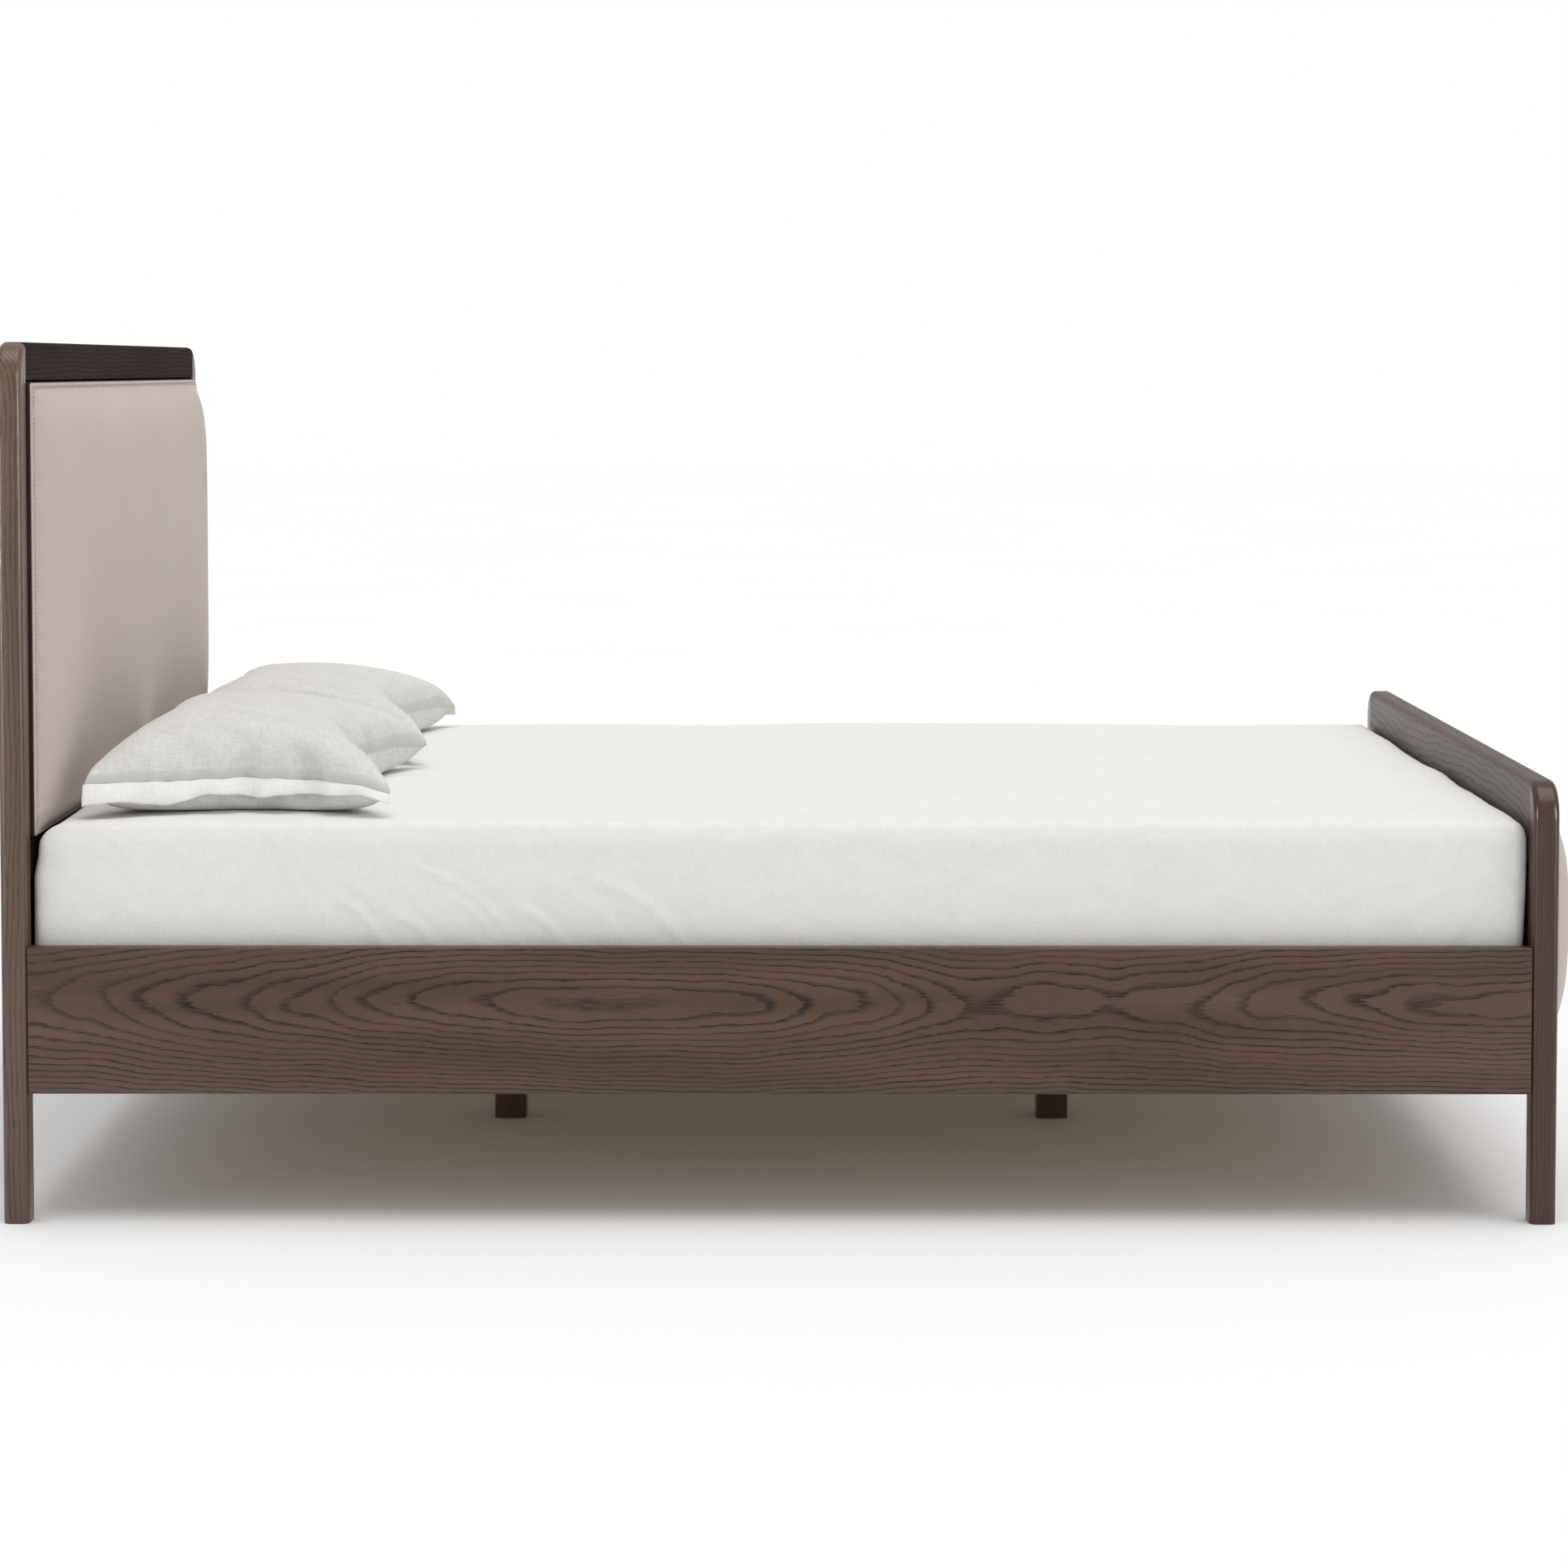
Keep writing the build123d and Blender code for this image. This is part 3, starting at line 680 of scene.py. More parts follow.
@dataclass(frozen=True)
class Cloth:
    """A woven cloth.

    Args:
        name: The material's name.
        colour: The yarn.
        shade: The colour of its thinner and soiled places.
        thread: Distance from one thread to the next.
        slub: How much thick and thin places show, from 0 to 1.
        relief: Height of the threads for shading.
        cloud: Size of the slow variation.
        sheen: Weight of the soft fuzz.
        gap_shade: Painted shade: the dark colour put where the piece's attribute "gap_shade" is 1, standing
            for the shadow in the gap round a cushion, if it has any.
    """

    name: str
    colour: Colour
    shade: Colour
    thread: float
    slub: float
    relief: float
    cloud: float = 0.15
    sheen: float = 0.15
    roughness: float = 0.9
    gap_shade: Colour | None = None

    def material(self) -> bpy.types.Material:
        """Make the finish. It follows the piece's own unfolded net."""
        material, graph, shader = new_material(self.name)
        net = graph.add("UVMap", uv_map="weave").outputs[0]
        weave = Effect.WEAVE.use(graph, {"Place": net, "Thread": self.thread}).outputs
        cloud = Effect.MOTTLE.use(graph, {"Place": net, "Size": self.cloud}).outputs[0]
        slub = graph.math("MULTIPLY", weave["Slub"], self.slub)
        mixed = graph.math("MULTIPLY_ADD", cloud, 0.3, slub)
        graph.feed(shader.inputs["Base Color"], graph.blend(mixed, self.colour, self.shade))
        graph.feed(shader.inputs["Roughness"], graph.spread(cloud, (0.0, 1.0), (self.roughness, 1.0)))
        bump = graph.add("Bump", {"Strength": 0.6, "Distance": self.relief})
        graph.feed(bump.inputs["Height"], graph.math("MULTIPLY_ADD", weave["Slub"], 0.7, weave["Height"]))
        graph.feed(shader.inputs["Normal"], bump.outputs[0])
        # Painted shade: the cloth turns dark brown where the attribute marks the cushion's wall inside the
        # shadowed gap.
        if self.gap_shade is not None:
            mask = graph.add("Attribute", attribute_name="gap_shade").outputs["Fac"]
            gap_shaded = graph.blend(mask, shader.inputs["Base Color"].links[0].from_socket, self.gap_shade)
            graph.feed(shader.inputs["Base Color"], gap_shaded)
        shader.inputs["Sheen Weight"].default_value = self.sheen
        shader.inputs["Sheen Roughness"].default_value = 0.5
        shader.inputs["Specular IOR Level"].default_value = 0.25
        return material


@dataclass(frozen=True)
class Metal:
    """A metal, plated or powder coated.

    Args:
        name: The material's name.
        colour: The surface.
        worn: The colour that shows on rubbed edges.
        metallic: 1 for bare or plated metal, 0 under paint.
        roughness: Of the surface.
    """

    name: str
    colour: Colour
    worn: Colour
    metallic: float
    roughness: float

    def material(self) -> bpy.types.Material:
        """Make the finish."""
        material, graph, shader = new_material(self.name)
        place = graph.object_place()
        cloud = Effect.MOTTLE.use(graph, {"Place": place, "Size": 0.02}).outputs[0]
        edge = Effect.WORN_EDGE.use(graph, {"Place": place, "Radius": 0.0015}).outputs[0]
        darker = tuple(part * 0.8 for part in self.colour)
        ground = graph.blend(cloud, self.colour, darker)
        graph.feed(shader.inputs["Base Color"], graph.blend(edge, ground, self.worn))
        rough = graph.spread(cloud, (0.0, 1.0), (self.roughness, self.roughness + 0.15))
        graph.feed(shader.inputs["Roughness"], rough)
        shader.inputs["Metallic"].default_value = self.metallic
        grit = graph.add("Bump", {"Strength": 0.15, "Distance": 0.0002})
        graph.feed(grit.inputs["Height"], graph.noise(place, 1800.0, 2.0))
        graph.feed(shader.inputs["Normal"], grit.outputs[0])
        return material


@dataclass(frozen=True)
class Plain:
    """A plastic, foam or other even material with faint clouding.

    Args:
        name: The material's name.
        colour: The surface.
        roughness: Of the surface.
        grit: Height of its fine texture.
    """

    name: str
    colour: Colour
    roughness: float
    grit: float

    def material(self) -> bpy.types.Material:
        """Make the finish."""
        material, graph, shader = new_material(self.name)
        place = graph.object_place()
        cloud = Effect.MOTTLE.use(graph, {"Place": place, "Size": 0.04}).outputs[0]
        darker = tuple(part * 0.85 for part in self.colour)
        graph.feed(shader.inputs["Base Color"], graph.blend(cloud, self.colour, darker))
        graph.feed(shader.inputs["Roughness"], graph.spread(cloud, (0, 1), (self.roughness, 1.0)))
        bump = graph.add("Bump", {"Strength": 0.3, "Distance": self.grit})
        graph.feed(bump.inputs["Height"], graph.noise(place, 900.0, 2.0))
        graph.feed(shader.inputs["Normal"], bump.outputs[0])
        return material


@dataclass
class Palette:
    """Every finish of the bed, each made once by name."""

    made: dict[str, bpy.types.Material] = field(default_factory=dict)

    def take(self, finish: Timber | Cloth | Metal | Plain) -> bpy.types.Material:
        """The finish's material, made the first time it is asked for."""
        if finish.name not in self.made:
            self.made[finish.name] = finish.material()
        return self.made[finish.name]

    def dress(self, nodes: Sequence[str], finish: Timber | Cloth | Metal | Plain) -> None:
        """Put a finish on carried-over CAD nodes.

        Args:
            nodes: Their names.
            finish: The finish.
        """
        for name in nodes:
            mesh = frame["nodes"][name].data
            mesh.materials.clear()
            mesh.materials.append(self.take(finish))
        log.info("dressed %d nodes in %s", len(nodes), finish.name)


RAIL_OAK = Timber(
    name="oak_rail",
    pale=srgb(102, 82, 68),
    deep=srgb(82, 64, 52),
    line=srgb(30, 21, 17),
    grain=Grain.LENGTHWISE,
    ring_spacing=0.0058,
    pith_height=0.303,
    pith_depth=0.046,
    figure=1.0,
    contrast=1.0,
)
HEAD_POST_OAK = Timber(
    name="oak_head_post",
    pale=srgb(114, 92, 76),
    deep=srgb(89, 69, 54),
    line=srgb(46, 33, 26),
    grain=Grain.UPRIGHT,
    ring_spacing=0.006,
    contrast=0.9,
    roughness=0.24,
    gloss=0.4,
)
FOOT_POST_OAK = Timber(
    name="oak_foot_post",
    pale=srgb(80, 54, 43),
    deep=srgb(58, 37, 29),
    line=srgb(34, 22, 17),
    grain=Grain.UPRIGHT,
    ring_spacing=0.006,
    contrast=0.9,
    roughness=0.24,
    gloss=0.4,
)
# Painted light: a lighter copy of the foot posts' oak for the centre legs, offsetting the shade under the
# bed.
LIT_LEG_OAK = replace(
    FOOT_POST_OAK,
    name="oak_leg_painted_light",
    pale=srgb(104, 74, 60),
    deep=srgb(80, 56, 44),
)
# Painted shade: a darkened, nearly unreflective copy of the posts' oak, standing for the shade on the
# headboard's faces turned to the foot.
SHADED_HEAD_RAIL_OAK = Timber(
    name="oak_head_rail_painted_shade",
    pale=srgb(56, 37, 34),
    deep=srgb(41, 26, 24),
    line=srgb(24, 16, 15),
    grain=Grain.CROSSWISE,
    ring_spacing=0.008,
    gloss=0.02,
    roughness=0.6,
)
FOOT_RAIL_OAK = Timber(
    name="oak_foot_rail",
    pale=srgb(88, 66, 56),
    deep=srgb(66, 49, 42),
    line=srgb(30, 20, 16),
    grain=Grain.CROSSWISE,
    ring_spacing=0.006,
    gloss=0.35,
    roughness=0.4,
    figure=0.6,
    pith_depth=0.2,
)
PINE_SLAT = Timber(
    name="pine_slat",
    pale=srgb(214, 184, 140),
    deep=srgb(198, 164, 118),
    line=srgb(164, 122, 78),
    grain=Grain.CROSSWISE,
    ring_spacing=0.007,
    contrast=0.6,
    roughness=0.6,
)
PINE_BEAM = replace(PINE_SLAT, name="pine_beam", grain=Grain.LENGTHWISE)
# Painted shade: the board behind each cushion takes the darkened head rail oak, so that the gap round the
# cushion shows as shadow.
GAP_SHADE_BOARD = replace(SHADED_HEAD_RAIL_OAK, name="pad_board", ring_spacing=0.011, contrast=0.5)
BEECH = Timber(
    name="beech_dowel",
    pale=srgb(206, 172, 132),
    deep=srgb(190, 154, 114),
    line=srgb(160, 120, 84),
    grain=Grain.CROSSWISE,
    ring_spacing=0.004,
    contrast=0.4,
    roughness=0.6,
)
PAD_CLOTH = Cloth(
    name="pad_cloth",
    colour=srgb(202, 189, 183),
    shade=srgb(188, 173, 166),
    thread=0.0011,
    slub=0.25,
    relief=0.0003,
    cloud=0.35,
    sheen=0.1,
    # Painted shade: dark brown for the cushion's wall, standing for the shadow in the gap beside the frame.
    gap_shade=srgb(48, 33, 27),
)
SHEET_LINEN = Cloth(
    name="sheet_linen",
    colour=srgb(245, 244, 242),
    shade=srgb(234, 233, 230),
    thread=0.0010,
    slub=0.5,
    relief=0.0006,
    cloud=0.05,
    sheen=0.05,
)
PILLOW_LINEN = replace(
    SHEET_LINEN,
    name="pillow_linen",
    colour=srgb(235, 234, 230),
    shade=srgb(212, 211, 206),
    thread=0.0016,
    slub=0.65,
    relief=0.0010,
    cloud=0.08,
)
HEM_LINEN = replace(
    SHEET_LINEN,
    name="hem_linen",
    colour=srgb(250, 249, 246),
    shade=srgb(232, 231, 227),
    thread=0.0014,
    cloud=0.08,
)
TICKING = Cloth(
    name="mattress_ticking",
    colour=srgb(236, 233, 226),
    shade=srgb(214, 210, 202),
    thread=0.0012,
    slub=0.4,
    relief=0.0004,
    cloud=0.1,
    sheen=0.1,
)
THREAD = Plain("pad_thread", srgb(170, 154, 146), 0.8, 0.0002)
BLACK_STEEL = Metal("black_steel", srgb(34, 34, 36), srgb(110, 108, 105), 0.3, 0.42)
ZINC_STEEL = Metal("zinc_steel", srgb(190, 192, 196), srgb(224, 226, 230), 1.0, 0.3)
BRASS = Metal("brass_insert", srgb(196, 160, 92), srgb(232, 204, 142), 1.0, 0.28)
NYLON = Plain("nylon_glide", srgb(36, 36, 38), 0.5, 0.0001)


# ---------------------------------------------------------------- the bed


@dataclass
class EndFrame:
    """The timber of one end of the bed: posts, cross rails and panel.

    Args:
        palette: The finishes.
        end: "head" or "foot".
    """

    palette: Palette
    end: str

    def build(self) -> None:
        """Dress the end's own nodes."""
        head = self.end == "head"
        posts = [f"{self.end}_post_{side}" for side in ("left", "right")]
        self.palette.dress(posts, HEAD_POST_OAK if head else FOOT_POST_OAK)
        rails = ("top", "mid", "bottom") if head else ("top", "bottom")
        shown = [f"{self.end}_{rail}_rail" for rail in rails]
        shown.append("head_back_panel" if head else "foot_inner_panel")
        # The head rails and back panel take the oak with painted shade.
        self.palette.dress(shown, SHADED_HEAD_RAIL_OAK if head else FOOT_RAIL_OAK)
        # The pad board is painted shade for the gap round the cushion.
        self.palette.dress([f"{self.end}_pad_board"], GAP_SHADE_BOARD)
        self.palette.dress([f"{self.end}_frame_dowels"], BEECH)


@dataclass
class SlatBase:
    """Side rails, ledgers, slats, centre beam and its legs."""

    palette: Palette
    sides: tuple[str, str] = ("left", "right")
    slats: int = 12

    def build(self) -> None:
        """Dress the base's nodes."""
        self.palette.dress([f"side_rail_{side}" for side in self.sides], RAIL_OAK)
        self.palette.dress([f"slat_ledger_{side}" for side in self.sides], PINE_BEAM)
        self.palette.dress([f"slat_{i + 1:02d}" for i in range(self.slats)], PINE_SLAT)
        self.palette.dress(["centre_beam"], PINE_BEAM)
        # The centre legs take the oak with painted light.
        self.palette.dress(["centre_leg_head", "centre_leg_foot"], LIT_LEG_OAK)


@dataclass
class Hardware:
    """Brackets, bolts, screws, inserts and glides."""

    palette: Palette

    def build(self) -> None:
        """Dress the hardware's nodes."""
        corners = [f"corner_bracket_{end}_{side}" for end in ("head", "foot") for side in ("left", "right")]
        self.palette.dress(corners + ["beam_hanger_head", "beam_hanger_foot"], BLACK_STEEL)
        self.palette.dress(["head_pad_screws", "foot_pad_screws"], BLACK_STEEL)
        screws = ["ledger_screws", "slat_screws", "hanger_screws"]
        self.palette.dress(screws + ["bracket_bolts", "centre_leg_bolts"], ZINC_STEEL)
        self.palette.dress(["threaded_inserts"], BRASS)
        self.palette.dress(["post_glides", "centre_leg_glides"], NYLON)


@dataclass
class EndPad:
    """An upholstered cushion of the headboard or footboard, with its stitched welt.

    Args:
        palette: The finishes.
        end: "head" or "foot".
        crown: How far the cushion's middle stands in front of its welt.
        welt: Width of the welt round its edge.
        fall: Distance over which the crown rises.
        edge_depth, corner: Rounding of its edge from front to back, and of its corners.
        side_gap: How much wider the gap beside the cushion is than the CAD one.
        gap_shade_start: How far behind the front the painted shade of the gap starts on the cushion's wall.
        groove_depth, groove_width: Of the seam's groove.
        swell: How far the welt bulges between seam and edge.
        pucker, welt_wave, slow_wave: Heights of the puckers, the welt's waves and the cushion's.
        fine, coarse: Spacing of its points near the edges and in the middle.
        seed: Of its unevenness.
    """

    palette: Palette
    end: str
    crown: float = 0.0325
    welt: float = 0.008
    fall: float = 0.032
    edge_depth: float = 0.006
    corner: float = 0.010
    side_gap: float = 0.005
    gap_shade_start: float = 0.0025
    groove_depth: float = 0.0018
    groove_width: float = 0.0022
    swell: float = 0.0008
    pucker: float = 0.0007
    welt_wave: float = 0.0004
    slow_wave: float = 0.0002
    fine: float = 0.0022
    coarse: float = 0.006
    seed: int = 3

    def rise(self, inset: Array) -> Array:
        """Share of the crown at a distance in from the welt: one less a falling exponential."""
        return 1 - np.exp(-np.maximum(inset, 0) / self.fall)

    def build(self) -> bpy.types.Object:
        """Make the cushion and its stitching, and put them in the CAD cushion's place.

        The front is the welt's plane pushed out by the crown times the rise from the sides times
        the rise from the top and bottom. A groove follows the seam, the welt swells slightly
        outside it, and small puckers run from it into the cushion.

        Returns:
            The cushion.
        """
        node = f"{self.end}_pad_cushion"
        low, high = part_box(node)
        low.y += self.side_gap
        high.y -= self.side_gap
        front = high.x - self.crown
        lines = (
            np.linspace(low.x, front, 20),
            graded(low.y, high.y, 0.045, self.fine, self.coarse),
            graded(low.z, high.z, 0.045, self.fine, self.coarse),
        )
        skin = rounded_block(lines, (self.edge_depth, self.corner, self.corner), front=0)
        y, z = skin.origin[:, 1], skin.origin[:, 2]
        facing = skin.origin[:, 0] >= front - 1e-6
        from_side = np.minimum(y - low.y, high.y - y)
        from_end = np.minimum(z - low.z, high.z - z)
        inset = np.minimum(from_side, from_end)
        shape = self.crown * self.rise(from_side - self.welt) * self.rise(from_end - self.welt)
        groove = -self.groove_depth * np.exp(-(((inset - self.welt) / self.groove_width) ** 2))
        swell = self.swell * np.sin(np.clip(inset / self.welt, 0, 1) * math.pi)
        along = np.where(from_side < from_end, z, y)
        places = np.stack([along, inset * 0.12], axis=1)
        pucker = waves(places, (0.021, 0.03), self.seed) * np.exp(-np.abs(inset - self.welt) / 0.012)
        welt_wave = waves(places, (0.05, 0.2), self.seed + 1) * (inset < self.welt)
        slow = waves(skin.origin[:, 1:], (0.35, 0.3), self.seed + 2) * self.rise(inset - 0.05)
        uneven = self.pucker * pucker + self.welt_wave * welt_wave + self.slow_wave * slow
        height = shape + groove + swell + uneven
        skin.points[:, 0] += np.where(facing, height, 0.0)
        cushion = skin.build(f"{self.end}_pad", self.palette.take(PAD_CLOTH))
        # Painted shade: the wall behind the front is marked to take the colour of the dark gap's shadow.
        behind = front - skin.origin[:, 0]
        gap_shaded = cushion.data.attributes.new("gap_shade", "FLOAT", "POINT")
        gap_shaded.data.foreach_set("value", np.clip((behind - self.gap_shade_start) / 0.001, 0, 1))
        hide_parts(node)
        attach(cushion, "bed_frame")
        self.stitch(low, high, front)
        log.info("%s: %d points", cushion.name, len(skin.points))
        return cushion

    def stitch(self, low: Sequence[float], high: Sequence[float], front: float) -> None:
        """Lay the welt's stitches just outside its seam groove."""
        inset = self.welt - self.groove_width
        half = np.array([(high[1] - low[1]) / 2 - inset, (high[2] - low[2]) / 2 - inset])
        middle = np.array([(high[1] + low[1]) / 2, (high[2] + low[2]) / 2])
        loop = rounded_loop(half, 0.006, 0.002)
        path = np.column_stack([np.full(len(loop), front + 0.0003), loop + middle])
        up = np.tile((1.0, 0.0, 0.0), (len(loop), 1))
        thread = Stitching().row(f"{self.end}_pad_stitching", path, up, self.palette.take(THREAD))
        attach(thread, "bed_frame")


def rounded_loop(half: Array, radius: float, step: float) -> Array:
    """Points round a rectangle with rounded corners, centred on the origin.

    Args:
        half: Half the rectangle's width and height.
        radius: Of its corners.
        step: Distance between points, about.

    Returns:
        The points, anticlockwise, one row each.
    """
    parts = []
    inner = half - radius
    signs = ((1, -1), (1, 1), (-1, 1), (-1, -1))
    for number, sign in enumerate(signs):
        turn = np.linspace(0, math.pi / 2, 6) + (number - 1) * math.pi / 2
        arc = inner * sign + radius * np.column_stack([np.cos(turn), np.sin(turn)])
        parts.append(arc)
        after = inner * signs[(number + 1) % 4]
        start = arc[-1]
        heading = np.array([np.cos(turn[-1]), np.sin(turn[-1])])
        end = after + radius * heading
        count = max(2, int(np.linalg.norm(end - start) / step))
        parts.append(np.linspace(start, end, count)[1:-1])
    return np.vstack(parts)


@dataclass(frozen=True)
class Crease:
    """A ridge in the sheet along a straight line on the mattress's side or top.

    Args:
        start, end: Its ends on the unfolded net.
        width: Of the ridge.
        height: Of the ridge.
    """

    start: tuple[float, float]
    end: tuple[float, float]
    width: float
    height: float

    def lift(self, net: Array) -> Array:
        """Height at each place: a bell across the line that fades towards both ends."""
        start, end = np.array(self.start), np.array(self.end)
        run = end - start
        length = float(np.linalg.norm(run))
        run = run / length
        away = net - start
        along = away @ run
        across = away @ np.array([-run[1], run[0]])
        bow = 0.10 * length * np.sin(np.clip(along / length, 0, 1) * math.pi)
        share = np.clip(along / length, -0.4, 1.4)
        fade = np.exp(-((np.maximum(np.abs(share - 0.5) - 0.3, 0) / 0.22) ** 2))
        across = (across - bow) / self.width
        bell = np.exp(-(across**2)) - 0.6 * np.exp(-((across - 1.6) ** 2))
        return self.height * fade * bell


def tilt() -> tuple[float, float, float]:
    """The mattress's hinge line: its place along the bed and above the floor, and its full angle."""
    hinge = next(joint for joint in frame["joints"] if joint["name"] == "mattress_tilt")
    return hinge["pos_m"][0], hinge["pos_m"][2], math.radians(hinge["range_deg"][1])


@dataclass
class Mattress:
    """The mattress and the fitted sheet stretched over it.

    Args:
        palette: The finishes.
        head_ease, side_ease: How far the sheet stands out from the CAD block.
        foot_margin: Room left between it and the footboard as it tilts.
        rounding: Of its edges along x, y and z.
        end_blend: Distance over which the shaping of the ends fades in.
        ease_rise: Height over which the head end's ease fades in below the hinge.
        hem: Width of the sheet's band under the mattress.
        sway, ruffle, gather: Heights of its long waves, its short ones and those of the band.
        ticking_inset: How far the mattress's own cloth lies inside the sheet.
        sheet_step, ticking_step: Spacing of the points of each.
        seed: Of their unevenness.
    """

    palette: Palette
    head_ease: float = 0.006
    side_ease: float = 0.003
    foot_margin: float = 0.0008
    rounding: tuple[float, float, float] = (0.016, 0.018, 0.030)
    end_blend: float = 0.06
    ease_rise: float = 0.03
    hem: float = 0.07
    sway: float = 0.0010
    ruffle: float = 0.00018
    gather: float = 0.0015
    ticking_inset: float = 0.006
    sheet_step: float = 0.0075
    ticking_step: float = 0.016
    seed: int = 11

    def limits(self) -> tuple[Array, Array]:
        """Lowest and highest corner of the made-up mattress."""
        low, high = (np.array(corner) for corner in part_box("mattress_cover"))
        low += (0.0, -self.side_ease, 0.0)
        high += (0.0, self.side_ease, 0.0)
        return low, high

    def block(self, inset: float, step: float) -> Skin:
        """The mattress's skin, inset by some distance."""
        low, high = self.limits()
        low, high = low + inset, high - inset
        lines = [graded(low[k], high[k], 0.07, step * 0.6, step) for k in range(3)]
        skin = rounded_block(lines, [radius - inset for radius in self.rounding], front=2)
        near_foot = np.clip((skin.points[:, 0] - high[0]) / self.end_blend + 1, 0, 1)
        skin.points[:, 0] += near_foot * self.foot_room(skin.points[:, 2])
        self.ease_head(skin, low[0])
        return skin

    def ease_head(self, skin: Skin, face: float) -> None:
        """Round the head end about the hinge, and let it stand out towards the headboard below.

        Above the hinge no point is farther from it than the CAD edge's radius, so that the edge
        keeps clear of the pad as the mattress tilts. Below it, everything swings away from the
        headboard, and the end stands out by the ease. The bottom's edge is raised by what it
        would sink into the slats at full tilt.

        Args:
            skin: The block's skin, whose points are moved.
            face: Where the head end is.
        """
        x, _, z = skin.points.T
        hinge_x, hinge_z, angle = tilt()
        limit = hinge_x - face
        reach = np.hypot(x - hinge_x, z - hinge_z)
        over = (x < hinge_x) & (z > hinge_z) & (reach > limit)
        share = np.where(over, limit / np.maximum(reach, 1e-6), 1.0)
        below = np.clip((hinge_z - z) / self.ease_rise, 0, 1)
        near = np.clip((face - x) / self.end_blend + 1, 0, 1)
        lowest = z.min() - hinge_z
        x = hinge_x + (x - hinge_x) * share - self.head_ease * near * below
        z = hinge_z + (z - hinge_z) * share
        floor = hinge_z + (lowest - (x - hinge_x) * math.sin(angle)) / math.cos(angle)
        skin.points[:, 0] = x
        skin.points[:, 2] = np.maximum(z, floor)

    def foot_room(self, level: Array) -> Array:
        """How far the foot end may stand out at each level and still clear the footboard.

        When the mattress tilts, a point below its hinge swings towards the footboard by the
        distance from the hinge less its level part. That and a margin come off the open gap.

        Args:
            level: Heights above the floor.

        Returns:
            One distance per level.
        """
        hinge_x, hinge_z, _ = tilt()
        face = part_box("mattress_cover")[1].x
        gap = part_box("foot_post_right")[0].x - face
        reach = face - hinge_x
        swing = np.hypot(reach, hinge_z - level) - reach
        return np.maximum(gap - swing - self.foot_margin, 0.0)

    def build(self) -> None:
        """Make the mattress and its sheet."""
        body = self.block(self.ticking_inset, self.ticking_step)
        mattress = body.build("mattress_body", self.palette.take(TICKING))
        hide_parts("mattress_cover", "mattress_core", "mattress_comfort_layer")
        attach(mattress, "mattress")
        sheet = self.sheet()
        log.info("%s and %s made", mattress.name, sheet.name)

    def creases(self) -> list[Crease]:
        """The sheet's creases: those of the near side one by one, and lesser ones elsewhere."""
        low, high = self.limits()
        top = high[2]
        near = [
            ((-0.520, 0.487), (-0.379, 0.381), 0.0060, 0.0019),
            ((-0.473, 0.446), (-0.403, 0.381), 0.0055, 0.0018),
            ((-0.541, 0.420), (-0.491, 0.378), 0.0055, 0.0022),
            ((-0.629, 0.446), (-0.559, 0.378), 0.0055, 0.0025),
            ((-0.374, 0.430), (-0.317, 0.380), 0.0055, 0.0024),
            ((-0.270, 0.466), (-0.150, 0.380), 0.0065, 0.0019),
            ((-0.322, 0.461), (-0.234, 0.382), 0.0065, 0.0011),
            ((-0.723, 0.542), (-0.692, 0.477), 0.0045, 0.0024),
            ((-0.692, 0.477), (-0.653, 0.385), 0.0050, 0.0009),
            ((-0.949, 0.539), (-0.895, 0.477), 0.0045, 0.0015),
            ((-0.916, 0.440), (-0.890, 0.405), 0.0045, 0.0017),
            ((-0.846, 0.518), (-0.827, 0.490), 0.0045, 0.0017),
            ((0.910, 0.520), (0.830, 0.420), 0.0100, 0.0010),
            ((0.940, 0.470), (0.880, 0.370), 0.0090, 0.0008),
        ]
        found = []
        for start, end, width, height in near:
            for side in (1, -1):
                across = [side * (high[1] + top - place[1]) for place in (start, end)]
                ends = ((start[0], across[0]), (end[0], across[1]))
                found.append(Crease(ends[0], ends[1], width, height))
        rng = np.random.default_rng(self.seed)
        for end, reach in ((-1, low[0]), (1, high[0])):
            for across in rng.uniform(-0.7, 0.7, 7):
                fall = rng.uniform(0.02, 0.08)
                lean = rng.uniform(-0.06, 0.06)
                start = (reach + end * fall, across)
                stop = (reach + end * (fall + 0.10), across + lean)
                found.append(Crease(start, stop, 0.008, rng.uniform(0.0005, 0.0012)))
        return found

    def from_edge(self, skin: Skin) -> Array:
        """How far each point of the unrounded block lies inside its outline, seen from above."""
        low, high = self.limits()
        place = skin.origin[:, :2]
        return np.minimum(place - low[:2], high[:2] - place).min(axis=1)

